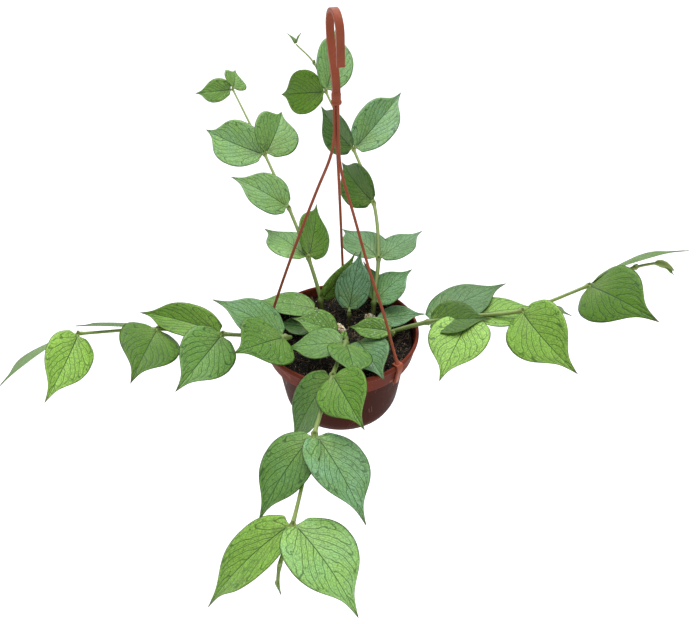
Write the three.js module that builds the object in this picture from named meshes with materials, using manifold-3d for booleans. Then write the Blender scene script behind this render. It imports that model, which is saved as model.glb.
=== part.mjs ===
// A young hoya in a plastic hanging pot, in millimetres, +Z up.
// The frame's origin is the point that hangs: the inside top of the hook. +X runs to the right of someone
// who faces the pot's front, and +Y runs away from them. Heights below are measured from the rim's top edge.
import * as THREE from "three";
import { mergeVertices } from "three/addons/utils/BufferGeometryUtils.js";
import Module from "manifold-3d";

const wasm = await Module();
wasm.setup();

// Pot
const rimRadius = 70;
const rimDrop = 276;
const lipWidth = 3.2;
const lipHeight = 3;
const bandHeight = 19;
const bandTaper = 4;
const bodyRadius = 60.5;
const potDepth = 79;
const footRadius = 48;
const footWidth = 6;
const footHeight = 2;
const wall = 1.8;
const potSides = 32;
const drainHoles = 6;
const drainRadius = 3.5;
const drainCircle = 28;

// Soil
const soilDepth = 10;
const soilSwell = 1.6;
const soilEdge = 64;
const gap = 0.3;

// Hanger: each leg stands at its own angle, and leaves the bundle under the collar at its own height.
const hookRadius = 13.5;
const hookThick = 3;
const hookWidth = 5.8;
const hookTurn = 15;
const hookTipDrop = 21;
const hookBow = 20;
const neckWidth = 5;
const collarRadius = 4;
const collarHeight = 8;
const collarTop = 219;
const legRadius = 1.2;
const bundleRadius = 1.6;
const pocketDepth = 6;
const legs = {
  leg_right: { angle: -46, bundleEnd: 153 },
  leg_back: { angle: 87, bundleEnd: 168 },
  leg_left: { angle: 188, bundleEnd: 168 },
};
const clipWidth = 7;
const clipThick = 1.8;
const clipBarb = 6;
const clipCatch = 4;

// Plant
const rootTip = -24;
const rootTop = -6;
const stemRadius = 1.7;
const stemSides = 6;
const holeRadius = 2.2;
const jointRadius = 3;
const petioleRadius = 1.4;
const petioleLength = 2.5;
const bladeThick = 0.9;
const bladeStations = [0.05, 0.14, 0.26, 0.4, 0.54, 0.67, 0.77, 0.87];
const bladeEnd = 0.82;
const bladeSkew = 0.8;
const bladeRound = 0.75;
const dripWidth = 0.8;
const lobe = 0.05;

const colours = { plastic: 0x8a4b3a, soil: 0x2a221d, green: 0x6f9a4e };

// Each vine is a root in the soil, then its joints in order, with the leaves that grow at each joint.
// A leaf's heading turns from +X towards +Y, its pitch lifts it, and its roll raises its left side. Fold is
// how far each half lifts from the midrib, bend is how far the midrib curves down from base to tip, all in
// degrees, and sweep moves the tip to the left by that share of the length.
const vines = {
  vine_front: {
    root: [5, 0],
    joints: [[4, -36, 14], [-7, -78, 16], [-21, -134, 8], [-36, -198, -14], [-45, -223, -28]],
    tip: { end: [-47, -230, -42], radius: 1.5 },
    leaves: [
      { joint: 0, heading: 176, pitch: -2, roll: 0, length: 51, width: 41, fold: 4, bend: 15 },
      { joint: 0, heading: -80, pitch: 15, roll: -18, length: 52, width: 39, fold: 2, bend: 15 },
      { joint: 1, heading: -75, pitch: 17, roll: 28, length: 73.5, width: 44, bend: 20, sweep: -0.03 },
      { joint: 1, heading: -161, pitch: -48, roll: -9, length: 75, width: 42, fold: 11, sweep: 0.06 },
      { joint: 2, heading: -132, pitch: -14, roll: 11, length: 74.5, width: 49, bend: 32 },
      { joint: 2, heading: -57, pitch: -7, roll: -18, length: 77.5, width: 52 },
      { joint: 3, heading: -155, pitch: -22, roll: 5, length: 89.5, width: 44, fold: 11, bend: 37, sweep: -0.04 },
      { joint: 3, heading: -49, pitch: -5, roll: -15, length: 76.5, width: 58, bend: 30 },
    ],
  },
  vine_left: {
    root: [-46, 0],
    joints: [[-47, -34, 20], [-100, -28, 20], [-157, -17, 18], [-229, -9, 8]],
    leaves: [
      { joint: 0, heading: 172, pitch: 42, roll: -4, length: 66.5, width: 46, fold: 2 },
      { joint: 0, heading: -117, pitch: 31, roll: -32, length: 73.5, width: 52, fold: 2, bend: 12 },
      { joint: 1, heading: 163, pitch: 14, roll: -25, length: 84, width: 33, fold: 20, bend: 35 },
      { joint: 1, heading: -107, pitch: 8, roll: -35, length: 74.5, width: 47, bend: 20 },
      { joint: 2, heading: -88, pitch: 22, roll: -29, length: 78.5, width: 51, fold: 3, bend: 34, sweep: 0.03 },
      { joint: 2, heading: 163, pitch: -5, roll: 43, length: 80, width: 42, fold: 4, bend: 8 },
      { joint: 3, heading: -90, pitch: 1, roll: -42, length: 75.5, width: 41 },
      { joint: 3, heading: -171, pitch: -16, roll: 36, length: 86, width: 44, fold: 4, bend: 30 },
    ],
  },
  vine_right: {
    root: [25, -4],
    joints: [[77, -7, 12], [114, -10, 20], [156, -14, 28], [213, -4, 46], [255, 8, 56]],
    tip: { end: [278, 16, 55], radius: 2.6 },
    leaves: [
      { joint: 0, heading: -15, pitch: 20, roll: 16, length: 53, width: 37, fold: 12, bend: 18 },
      { joint: 0, heading: 25, pitch: 20, roll: 0, length: 83.5, width: 47, fold: 0, sweep: 0.05 },
      { joint: 1, heading: -120, pitch: -10, roll: 5, length: 69.5, width: 53, bend: 15 },
      { joint: 1, heading: 13, pitch: 4, roll: 0, length: 62, width: 43, fold: 0, bend: 15 },
      { joint: 2, heading: -85, pitch: 10, roll: 45, length: 85.5, width: 53, bend: 35, sweep: 0.05 },
      { joint: 2, heading: 31, pitch: -14, roll: -42, length: 60, width: 26 },
      { joint: 3, heading: -89, pitch: 30, roll: 50, length: 98, width: 54, fold: 0, bend: 35 },
      { joint: 3, heading: 25, pitch: 25, roll: -53.5, length: 91.5, width: 40, fold: 3, bend: 35 },
    ],
  },
  vine_back_left: {
    root: [-18, 42],
    joints: [[-18, 43, 1], [-29, 73, 28], [-48, 122, 54], [-73, 181, 82], [-112, 279, 112]],
    leaves: [
      { joint: 0, heading: 17, pitch: 43, roll: 100, length: 54, width: 26 },
      { joint: 1, heading: 133, pitch: 13, roll: 7, length: 63.5, width: 48, fold: 2, bend: 20, sweep: -0.02 },
      { joint: 1, heading: 77, pitch: 26, roll: 55, length: 66.5, width: 43, fold: 4, bend: 20, sweep: -0.05 },
      { joint: 2, heading: 175, pitch: 40, roll: -20, length: 61.5, width: 48 },
      { joint: 3, heading: 150, pitch: 5, roll: -45, length: 89.5, width: 49, fold: 16, sweep: -0.1 },
      { joint: 3, heading: 65, pitch: 25, roll: 40, length: 70.5, width: 51, fold: 16, bend: 35, sweep: 0.05 },
      { joint: 4, heading: 165, pitch: -10, roll: -45, length: 47.5, width: 28, bend: 15, sweep: -0.05 },
      { joint: 4, heading: 85, pitch: 20, roll: 45, length: 32.5, width: 30, bend: 15 },
    ],
  },
  vine_back_right: {
    root: [31, 32],
    joints: [[31, 33, 4], [37, 70, 28], [35, 129, 54], [17, 194, 80], [-11, 281, 107], [-24, 317, 126]],
    tip: { end: [-45, 351, 136], radius: 1.2 },
    leaves: [
      { joint: 0, heading: 90, pitch: 24, roll: 37, length: 52, width: 30, fold: 18, bend: 30 },
      { joint: 0, heading: 27, pitch: 40, roll: -7, length: 45.5, width: 46, fold: 3, bend: 20, sweep: 0.02 },
      { joint: 1, heading: 123, pitch: 14, roll: 3, length: 58.5, width: 45, fold: 4 },
      { joint: 1, heading: 30, pitch: 20, roll: -10, length: 51.5, width: 45, fold: 0, bend: 15, sweep: 0.1 },
      { joint: 2, heading: 125, pitch: 15, roll: -60, length: 72.5, width: 41, fold: 16 },
      { joint: 3, heading: 45, pitch: 25, roll: 40, length: 97.5, width: 46, fold: 24, sweep: 0.05 },
      { joint: 3, heading: 130, pitch: 20, roll: -75, length: 72.5, width: 41, fold: 16 },
      { joint: 4, heading: 160, pitch: -10, roll: -60, length: 65.5, width: 50, fold: 16, bend: 35, sweep: -0.05 },
      { joint: 4, heading: 70, pitch: 40, roll: 35, length: 86.5, width: 47, fold: 24, sweep: 0.05 },
    ],
  },
  sprig_tall: {
    root: [8, 19],
    joints: [[8, 20, 4]],
    leaves: [{ joint: 0, heading: 76, pitch: 50, roll: -12, length: 56.5, width: 35, fold: 2, bend: 19 }],
  },
  sprig_left: {
    root: [-21, 26],
    joints: [[-21, 27, 2]],
    leaves: [{ joint: 0, heading: 174, pitch: 15, roll: 7, length: 58, width: 42, fold: 2, bend: 18 }],
  },
  sprig_middle: {
    root: [-1, -2],
    joints: [[-2, -4, -2]],
    leaves: [{ joint: 0, heading: 176, pitch: 31, roll: -14, length: 42, width: 33, fold: 13 }],
  },
  sprig_right: {
    root: [36, -17],
    joints: [[46, -20, 12.5]],
    leaves: [{ joint: 0, heading: 158, pitch: -4, roll: -32, length: 45, width: 21, fold: 10 }],
  },
  sprig_dark: {
    root: [31, 14],
    joints: [[31, 15, -2]],
    leaves: [{ joint: 0, heading: -10, pitch: 20, roll: 2, length: 45.5, width: 31, fold: 2, bend: 12 }],
  },
  sprig_front: {
    root: [15, -10],
    joints: [[15, -10, -5]],
    leaves: [{ joint: 0, heading: -74, pitch: 18, roll: 12, length: 63.5, width: 41, fold: 10 }],
  },
  sprig_low: {
    root: [-19, 5],
    joints: [[-23, 5, -3]],
    leaves: [{ joint: 0, heading: 172, pitch: 10, roll: -12, length: 33, width: 24, bend: 15 }],
  },
};

const radians = THREE.MathUtils.degToRad;
const smooth = THREE.MathUtils.smoothstep;

// A closed three.js geometry as a solid that can be joined and cut.
function toSolid(geometry) {
  const bare = new THREE.BufferGeometry();
  bare.setAttribute("position", geometry.getAttribute("position"));
  bare.setIndex(geometry.index);
  const merged = mergeVertices(bare, 1e-4);
  return new wasm.Manifold(
    new wasm.Mesh({
      numProp: 3,
      vertProperties: merged.attributes.position.array,
      triVerts: new Uint32Array(merged.index.array),
    }),
  );
}

function toMesh(name, solid, colour, roughness) {
  const data = solid.getMesh();
  const geometry = new THREE.BufferGeometry();
  geometry.setAttribute("position", new THREE.BufferAttribute(data.vertProperties, 3));
  geometry.setIndex(new THREE.BufferAttribute(data.triVerts, 1));
  geometry.computeVertexNormals();
  const material = new THREE.MeshStandardMaterial({ color: colour, roughness, metalness: 0 });
  const mesh = new THREE.Mesh(geometry, material);
  mesh.name = name;
  return mesh;
}

// A profile of [radius, height] points turned about the Z axis.
function turned(profile, sides) {
  const points = profile.map(([radius, height]) => new THREE.Vector2(radius, height));
  return new THREE.LatheGeometry(points, sides).rotateX(Math.PI / 2);
}

// An upright cylinder from one height to another.
function post(radius, low, high, x, y, sides) {
  const geometry = new THREE.CylinderGeometry(radius, radius, high - low, sides);
  return geometry.rotateX(Math.PI / 2).translate(x, y, (low + high) / 2);
}

// A round rod along a curve.
function rod(curve, radius, steps, sides) {
  const section = new THREE.Shape();
  section.setFromPoints(
    Array.from({ length: sides }, (_, i) => {
      const angle = (2 * Math.PI * i) / sides;
      return new THREE.Vector2(radius * Math.cos(angle), radius * Math.sin(angle));
    }),
  );
  return new THREE.ExtrudeGeometry(section, { steps, extrudePath: curve, bevelEnabled: false });
}

// The pot's outer wall from the foot to the step under the rim band, as [radius, height] points.
const bodyOutline = [
  [footRadius, -potDepth],
  [51.8, -71],
  [53.8, -60],
  [55.8, -46],
  [58.4, -30],
  [bodyRadius, -bandHeight],
];

function makePot() {
  const floor = -potDepth + footHeight;
  const shelf = -bandHeight + wall;
  const inside = bodyOutline.map(([radius, height], i) => [radius - wall, i ? height : floor + wall]);
  inside[inside.length - 1] = [bodyRadius - wall, shelf];
  const softEdge = 0.6;
  const profile = [
    [0, floor],
    [footRadius - footWidth, floor],
    [footRadius - footWidth, -potDepth],
    ...bodyOutline,
    [rimRadius - bandTaper, -bandHeight],
    [rimRadius - 1, -1.5 * lipHeight],
    [rimRadius, -lipHeight],
    [rimRadius, -softEdge],
    [rimRadius - softEdge, 0],
    [rimRadius - lipWidth + softEdge, 0],
    [rimRadius - lipWidth, -lipHeight],
    [rimRadius - bandTaper - 0.9 * wall, shelf],
    ...inside.reverse(),
    [0, floor + wall],
  ];
  let pot = toSolid(turned(profile, potSides));
  for (let i = 0; i < drainHoles; i++) {
    const angle = (2 * Math.PI * i) / drainHoles;
    const x = drainCircle * Math.cos(angle);
    const y = drainCircle * Math.sin(angle);
    pot = pot.subtract(toSolid(post(drainRadius, -potDepth - 1, floor + wall + 1, x, y, 12)));
  }
  return pot;
}

function soilTop(x, y) {
  const waves = Math.sin(x / 7 + 1) * Math.cos(y / 8) + 0.5 * Math.sin(x / 4 - y / 5);
  return -soilDepth + (soilSwell * waves) / 1.5;
}

// The soil fills the pot, with a plain upright hole wherever a stem stands.
function makeSoil() {
  const low = -potDepth + footHeight + wall + gap;
  const shelf = -bandHeight + wall + gap;
  const profile = [[0, low]];
  for (const [radius, height] of bodyOutline) {
    const level = height === -bandHeight ? shelf : Math.max(height, low);
    profile.push([radius - wall - 2 * gap, level]);
  }
  profile.push([soilEdge, shelf]);
  for (const share of [1, 0.75, 0.5, 0.25]) profile.push([soilEdge * share, -soilDepth]);
  profile.push([0, -soilDepth]);
  const geometry = turned(profile, potSides);
  const position = geometry.getAttribute("position");
  for (let i = 0; i < position.count; i++) {
    if (position.getZ(i) > -soilDepth - 0.01) {
      position.setZ(i, soilTop(position.getX(i), position.getY(i)));
    }
  }
  let soil = toSolid(geometry);
  for (const { root } of Object.values(vines)) {
    const hole = post(holeRadius, rootTip - gap, rootTop, root[0], root[1], 8);
    soil = soil.subtract(toSolid(hole));
  }
  return soil;
}

// The hook is a flat strap: up from the collar, back a little, over the top and down in front.
function makeHook() {
  const top = rimDrop - hookRadius + hookThick / 2;
  const outline = new THREE.Shape();
  const outer = hookRadius + hookThick / 2;
  const inner = hookRadius - hookThick / 2;
  const neck = neckWidth / 2;
  outline.moveTo(-outer, top - hookTipDrop);
  outline.absarc(0, top, outer, Math.PI, 0, true);
  outline.bezierCurveTo(outer, top - hookBow, neck, collarTop + hookBow, neck, collarTop - 1);
  outline.lineTo(-neck, collarTop - 1);
  outline.bezierCurveTo(-neck, collarTop + 1.1 * hookBow, inner, top - hookBow, inner, top);
  outline.absarc(0, top, inner, 0, Math.PI, false);
  outline.lineTo(-inner, top - hookTipDrop);
  outline.closePath();
  const strap = new THREE.ExtrudeGeometry(outline, {
    depth: hookWidth,
    curveSegments: 12,
    bevelEnabled: false,
  });
  strap.translate(0, 0, -hookWidth / 2);
  strap.rotateX(Math.PI / 2);
  strap.rotateZ(Math.PI / 2 + radians(hookTurn));
  const collar = turned(
    [
      [0, collarTop - collarHeight],
      [collarRadius - 0.4, collarTop - collarHeight],
      [collarRadius, collarTop - collarHeight + 1],
      [collarRadius, collarTop],
      [collarRadius - 1, collarTop + 2],
      [0, collarTop + 2],
    ],
    16,
  );
  const pocketTop = collarTop - collarHeight + pocketDepth;
  const pocketRadius = bundleRadius + legRadius + gap;
  const pocket = post(pocketRadius, collarTop - collarHeight - 1, pocketTop, 0, 0, 16);
  return toSolid(strap).add(toSolid(collar)).subtract(toSolid(pocket));
}

// A leg is a rod from the collar's pocket to the rim, with a clip that saddles the rim band. The rods hang
// together down to their bundle's end, and then bow outwards as plastic rods do under the pot's weight.
function makeLeg({ angle, bundleEnd }) {
  const turn = radians(angle);
  const out = (radius, height) =>
    new THREE.Vector3(radius * Math.cos(turn), radius * Math.sin(turn), height);
  const top = collarTop - collarHeight + pocketDepth - gap;
  const saddle = rimRadius - lipWidth / 2;
  const parting = [
    [0, 32],
    [0.3, 20],
    [1.4, 10],
    [4.8, -2],
    [14.4, -25],
  ];
  const path = new THREE.CatmullRomCurve3(
    [
      out(bundleRadius, top),
      ...parting.map(([aside, over]) => out(bundleRadius + aside, bundleEnd + over)),
      out(0.5 * saddle, bundleEnd - 71),
      out(0.76 * saddle, 0.286 * bundleEnd),
      out(0.93 * saddle, 0.083 * bundleEnd),
      out(saddle, 1),
    ],
    false,
    "centripetal",
  );
  const clip = new THREE.Shape();
  const outer = rimRadius + gap;
  const inner = rimRadius - lipWidth - gap;
  const under = rimRadius - bandTaper + 2 * gap;
  const foot = -bandHeight - gap;
  clip.moveTo(inner - clipThick / 2, -clipBarb);
  clip.lineTo(inner - clipThick, 1 - clipBarb);
  clip.lineTo(inner - clipThick, clipThick);
  clip.lineTo(outer + clipThick, clipThick);
  clip.lineTo(outer + clipThick, -lipHeight - 1);
  clip.lineTo(under + clipThick, foot - clipThick);
  clip.lineTo(under - clipCatch, foot - clipThick);
  clip.lineTo(under - clipCatch, foot);
  clip.lineTo(under, foot);
  clip.lineTo(outer, -lipHeight - 1);
  clip.lineTo(outer, gap);
  clip.lineTo(inner, gap);
  clip.lineTo(inner - gap, -clipBarb / 2);
  clip.closePath();
  const clipGeometry = new THREE.ExtrudeGeometry(clip, { depth: clipWidth, bevelEnabled: false });
  clipGeometry.translate(0, 0, -clipWidth / 2);
  clipGeometry.rotateX(Math.PI / 2);
  clipGeometry.rotateZ(turn);
  return toSolid(rod(path, legRadius, 24, 6)).add(toSolid(clipGeometry));
}

// Half the blade's width at a share of its length from base to tip, as a share of its widest half.
function halfWidth(t) {
  const body = t < bladeEnd ? Math.sin(Math.PI * (t / bladeEnd) ** bladeSkew) ** bladeRound : 0;
  const drip = dripWidth * (1 - t) * smooth(t, 0.3, 0.8);
  return Math.cbrt(body ** 3 + drip ** 3);
}

// The leaf's own frame: forward along the midrib at the base, left across the blade, and up out of its face.
function leafFrame({ heading, pitch, roll }) {
  const turn = radians(heading);
  const lift = radians(pitch);
  const forward = new THREE.Vector3(
    Math.cos(turn) * Math.cos(lift),
    Math.sin(turn) * Math.cos(lift),
    Math.sin(lift),
  );
  const left = new THREE.Vector3(-Math.sin(turn), Math.cos(turn), 0).applyAxisAngle(forward, radians(roll));
  const up = new THREE.Vector3().crossVectors(forward, left);
  return { forward, left, up };
}

// A point of the blade: t runs from base to tip, s from the right margin at -1 to the left one at 1.
function bladePoint(leaf, start, axes, t, s, rise) {
  const { length, width, fold = 8, bend = 25, sweep = 0 } = leaf;
  const along = t - lobe * s * s * (1 - t) ** 4;
  const total = radians(bend);
  const angle = total * along;
  const reach = (length * Math.sin(angle)) / total;
  const sink = (length * (Math.cos(angle) - 1)) / total;
  const across = (width / 2) * halfWidth(t) * s;
  const lift = Math.abs(across) * Math.sin(radians(fold)) + rise;
  return start
    .clone()
    .addScaledVector(axes.forward, reach + lift * Math.sin(angle))
    .addScaledVector(axes.left, across * Math.cos(radians(fold)) + length * sweep * along * along)
    .addScaledVector(axes.up, sink + lift * Math.cos(angle));
}

// A stalk that widens into the blade: an upper and a lower face of the same grid, joined round the margin.
function makeLeaf(leaf, joint) {
  const axes = leafFrame(leaf);
  const start = joint.clone().addScaledVector(axes.forward, petioleLength);
  const points = [];
  const faces = [];
  const stalkRow = (from, side) =>
    [-petioleRadius, 0, petioleRadius].map((across) => {
      const point = from.clone().addScaledVector(axes.left, across);
      return points.push(point.addScaledVector(axes.up, side * petioleRadius * (across ? 0.6 : 1))) - 1;
    });
  const put = (t, s, rise) => points.push(bladePoint(leaf, start, axes, t, s, rise)) - 1;
  const [upper, lower] = [1, -1].map((side) => ({
    grid: [
      stalkRow(joint, side),
      stalkRow(start, side),
      ...bladeStations.map((t) => [-1, 0, 1].map((s) => put(t, s, (side * bladeThick) / 2))),
    ],
    tip: put(1, 0, (side * bladeThick) / 2),
  }));
  const last = upper.grid.length - 1;
  for (const { grid, tip, turn } of [{ ...upper, turn: false }, { ...lower, turn: true }]) {
    const face = (a, b, c) => (turn ? faces.push(a, c, b) : faces.push(a, b, c));
    for (let j = 0; j < 2; j++) {
      face(tip, grid[last][j + 1], grid[last][j]);
      for (let i = 0; i < last; i++) {
        const [a, b, c, d] = [grid[i][j], grid[i + 1][j], grid[i + 1][j + 1], grid[i][j + 1]];
        if (j) faces.push(...(turn ? [a, c, b, a, d, c] : [a, b, c, a, c, d]));
        else faces.push(...(turn ? [a, d, b, b, d, c] : [a, b, d, b, c, d]));
      }
    }
  }
  const rim = ({ grid, tip }) => [...grid.map((row) => row[0]), tip, ...grid.map((row) => row[2]).reverse()];
  const top = rim(upper);
  const bottom = rim(lower);
  for (let i = 0; i < top.length - 1; i++) {
    faces.push(top[i], bottom[i], bottom[i + 1], top[i], bottom[i + 1], top[i + 1]);
  }
  const [a, b, c] = upper.grid[0];
  const [d, e, f] = lower.grid[0];
  faces.push(a, b, e, a, e, d, b, c, f, b, f, e);
  const geometry = new THREE.BufferGeometry();
  geometry.setFromPoints(points);
  geometry.setIndex(faces);
  return geometry;
}

// A leafy stem: root, stem, swollen joints, leaf stalks, blades and tip bud in one solid.
function makeVine({ root, joints, leaves, tip }) {
  const places = joints.map((joint) => new THREE.Vector3(...joint));
  const foot = new THREE.Vector3(root[0], root[1], rootTop - 2);
  const route = [foot, ...places];
  if (tip) route.push(new THREE.Vector3(...tip.end));
  let vine = toSolid(post(stemRadius, rootTip, rootTop, root[0], root[1], stemSides));
  const curve = new THREE.CatmullRomCurve3(route, false, "centripetal");
  const steps = Math.max(3, Math.round(curve.getLength() / 14));
  vine = vine.add(toSolid(rod(curve, stemRadius, steps, stemSides)));
  for (const place of places) {
    vine = vine.add(toSolid(new THREE.OctahedronGeometry(jointRadius).translate(...place)));
  }
  if (tip) {
    const bud = new THREE.OctahedronGeometry(tip.radius * 2);
    vine = vine.add(toSolid(bud.translate(...tip.end)));
  }
  for (const leaf of leaves) {
    vine = vine.add(toSolid(makeLeaf(leaf, places[leaf.joint])));
  }
  // Leaves that cross can seal a hollow between them: it is filled, and a loose scrap is dropped.
  return vine.decompose().sort((a, b) => b.volume() - a.volume())[0];
}

const group = new THREE.Group();
const hanging = new THREE.Group();
hanging.position.z = -rimDrop;
group.add(hanging);

hanging.add(toMesh("pot", makePot(), colours.plastic, 0.45));
hanging.add(toMesh("soil", makeSoil(), colours.soil, 0.95));
hanging.add(toMesh("hanger_hook", makeHook(), colours.plastic, 0.45));
for (const [name, leg] of Object.entries(legs)) {
  hanging.add(toMesh(name, makeLeg(leg), colours.plastic, 0.45));
}
for (const [name, vine] of Object.entries(vines)) {
  hanging.add(toMesh(name, makeVine(vine), colours.green, 0.5));
}

export default group;
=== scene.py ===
# A young hoya in a plastic hanging pot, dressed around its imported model.
# Sizes are in millimetres and heights are measured from the rim's top edge; meshes are written in metres.
# +X is to the right of someone facing the pot's front, and +Y is away from them.
import math

import bmesh
import bpy
import numpy as np
from mathutils import Matrix, Vector, noise


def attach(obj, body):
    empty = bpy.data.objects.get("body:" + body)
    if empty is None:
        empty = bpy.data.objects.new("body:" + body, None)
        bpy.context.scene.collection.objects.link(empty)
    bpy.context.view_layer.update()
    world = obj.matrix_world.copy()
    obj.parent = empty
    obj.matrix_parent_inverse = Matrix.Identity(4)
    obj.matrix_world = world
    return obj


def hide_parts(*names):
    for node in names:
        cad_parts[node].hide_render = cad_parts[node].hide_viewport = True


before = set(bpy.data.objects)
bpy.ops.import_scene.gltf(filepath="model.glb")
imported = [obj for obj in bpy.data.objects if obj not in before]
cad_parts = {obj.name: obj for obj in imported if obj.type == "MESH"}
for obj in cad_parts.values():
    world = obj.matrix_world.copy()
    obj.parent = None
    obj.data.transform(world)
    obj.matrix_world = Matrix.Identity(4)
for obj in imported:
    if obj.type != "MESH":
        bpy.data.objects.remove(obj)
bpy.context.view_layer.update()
rimDrop = 276  # from the hanging point down to the rim
metre = 0.001
print("frame loaded:", len(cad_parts), "nodes")


# Camera, light and floor
view = {
    "position": (0.0, -541.7, 438.6),
    "aim": (8.75, 9.44, 12.01),
    "roll": -0.513,  # degrees
    "focalPixels": 780,
    "frameWidth": 700,
}
studio = {
    "floorHeight": -900,
    "floorSize": 12000,
    "floorColour": "#F7F7F5",
    "worldColour": "#EEF3FA",
    "worldStrength": 0.55,
    "sunStrength": 2.95,
    "sunAngle": 65,  # degrees across: an overcast sky
    "sunFrom": (0.1, 0.35, 1.0),
    "backPosition": (-150, 1500, 1000),
    "backSize": 1500,
    "backPower": 11,
    "backTint": (0.86, 0.94, 1.0),
}


def toScene(points):
    return (np.asarray(points, float) - (0, 0, rimDrop)) * metre


def linear(hexColour):
    # sRGB hex to the linear values that the shaders take
    values = [int(hexColour[i : i + 2], 16) / 255 for i in (1, 3, 5)]
    return tuple(v / 12.92 if v <= 0.04045 else ((v + 0.055) / 1.055) ** 2.4 for v in values) + (1.0,)


def addNode(tree, kind, inputs=(), **settings):
    # A node of a kind, which is named without its family, with its settings made. Its inputs come by name or as a
    # row in the sockets' order, and a node or a socket among them is linked
    family = next(f for f in ("Shader", "Geometry", "Function", "") if hasattr(bpy.types, f + "Node" + kind))
    node = tree.nodes.new(family + "Node" + kind)
    for name, value in settings.items():
        setattr(node, name, value)
    sockets = [socket for socket in node.inputs if socket.enabled]
    if isinstance(inputs, dict):
        sockets = [next(socket for socket in sockets if socket.name == name) for name in inputs]
        inputs = inputs.values()
    for socket, value in zip(sockets, inputs):
        if isinstance(value, bpy.types.Node):
            value = next(output for output in value.outputs if output.enabled)
        if isinstance(value, bpy.types.NodeSocket):
            tree.links.new(value, socket)
        else:
            socket.default_value = value
    return node


def addObject(name, data):
    made = bpy.data.objects.new(name, data)
    bpy.context.scene.collection.objects.link(made)
    return made


def startMaterial(name):
    material = bpy.data.materials.new(name)
    material.use_nodes = True
    tree = material.node_tree
    tree.nodes.clear()
    return material, tree


def endMaterial(tree, surface):
    addNode(tree, "OutputMaterial", {"Surface": surface})


def makeCamera():
    position = Vector(toScene(view["position"]))
    forward = (Vector(toScene(view["aim"])) - position).normalized()
    right = forward.cross(Vector((0, 0, 1))).normalized()
    turn = Matrix.Rotation(math.radians(-view["roll"]), 3, forward)
    right = turn @ right
    up = right.cross(forward)
    data = bpy.data.cameras.new("camera")
    data.sensor_fit = "HORIZONTAL"
    data.sensor_width = 36
    data.lens = 36 * view["focalPixels"] / view["frameWidth"]
    data.clip_end = 50
    camera = addObject("camera", data)
    turned = Matrix((right, up, -forward)).transposed().to_4x4()
    camera.matrix_world = Matrix.Translation(position) @ turned
    bpy.context.scene.camera = camera


def addLights():
    # A wide soft sun for the overcast sky, and a window behind that shines on the leaves' far halves
    sun = bpy.data.lights.new("overcastSky", "SUN")
    sun.energy = studio["sunStrength"]
    sun.angle = math.radians(studio["sunAngle"])
    window = bpy.data.lights.new("backWindow", "AREA")
    window.shape = "DISK"
    window.size = studio["backSize"] * metre
    window.energy = studio["backPower"]
    window.color = studio["backTint"]
    for data, place in ((sun, Vector(studio["sunFrom"])), (window, Vector(toScene(studio["backPosition"])))):
        lamp = addObject(data.name, data)
        turned = (-place).to_track_quat("-Z", "Y").to_matrix().to_4x4()
        lamp.matrix_world = Matrix.Translation(place) @ turned


def makeStudio():
    half = studio["floorSize"] / 2
    corners = [(-half, -half), (half, -half), (half, half), (-half, half)]
    mesh = bpy.data.meshes.new("floor")
    mesh.from_pydata([tuple(toScene((x, y, studio["floorHeight"]))) for x, y in corners], [], [(0, 1, 2, 3)])
    floor = addObject("floor", mesh)
    material, tree = startMaterial("paleMattePaper")
    grain = addNode(tree, "TexNoise", {"Scale": 6.0, "Detail": 3.0})
    tint = addNode(tree, "Mix", (grain, linear(studio["floorColour"]), linear("#FFFFFF")), data_type="RGBA")
    endMaterial(tree, addNode(tree, "BsdfDiffuse", {"Color": tint}))
    mesh.materials.append(material)
    world = bpy.data.worlds.new("studio")
    world.use_nodes = True
    back = world.node_tree.nodes["Background"]
    back.inputs["Color"].default_value = linear(studio["worldColour"])
    back.inputs["Strength"].default_value = studio["worldStrength"]
    bpy.context.scene.world = world
    addLights()
    bpy.context.scene.view_settings.view_transform = "Standard"


makeCamera()
makeStudio()
print("camera, light and floor done")


# Shared making
def makePiece(name, points, faces, material):
    # A closed mesh from points in millimetres, with its faces turned outwards
    mesh = bpy.data.meshes.new(name)
    mesh.from_pydata(toScene(points).tolist(), [], faces)
    work = bmesh.new()
    work.from_mesh(mesh)
    bmesh.ops.recalc_face_normals(work, faces=work.faces)
    work.to_mesh(mesh)
    work.free()
    mesh.polygons.foreach_set("use_smooth", [True] * len(mesh.polygons))
    mesh.materials.append(material)
    return addObject(name, mesh)


def settle(piece):
    # The evaluated result becomes a plain mesh and the modifiers go
    graph = bpy.context.evaluated_depsgraph_get()
    mesh = bpy.data.meshes.new_from_object(piece.evaluated_get(graph), depsgraph=graph)
    mesh.name = piece.name
    if piece.type == "MESH":
        piece.modifiers.clear()
        piece.data = mesh
        return piece
    name = piece.name
    bpy.data.objects.remove(piece)
    return addObject(name, mesh)


def startTree(name, sockets):
    tree = bpy.data.node_groups.new(name, "GeometryNodeTree")
    tree.interface.new_socket("Geometry", in_out="INPUT", socket_type="NodeSocketGeometry")
    for label, kind in sockets.items():
        tree.interface.new_socket(label, in_out="INPUT", socket_type="NodeSocket" + kind)
    tree.interface.new_socket("Geometry", in_out="OUTPUT", socket_type="NodeSocketGeometry")
    return tree, addNode(tree, "GroupInput")


def endTree(tree, given, geometry):
    real = addNode(tree, "RealizeInstances", {"Geometry": geometry})
    painted = addNode(tree, "SetMaterial", {"Geometry": real, "Material": given.outputs["Material"]})
    addNode(tree, "GroupOutput", {"Geometry": painted})


def runTree(piece, tree, values):
    modifier = piece.modifiers.new(tree.name, "NODES")
    modifier.node_group = tree
    for item in tree.interface.items_tree:
        if item.item_type == "SOCKET" and item.in_out == "INPUT" and item.name in values:
            modifier[item.identifier] = values[item.name]
    return settle(piece)


def finishPiece(piece, slot, *nodes):
    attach(piece, "root")
    if nodes:
        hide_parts(*nodes)


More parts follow.
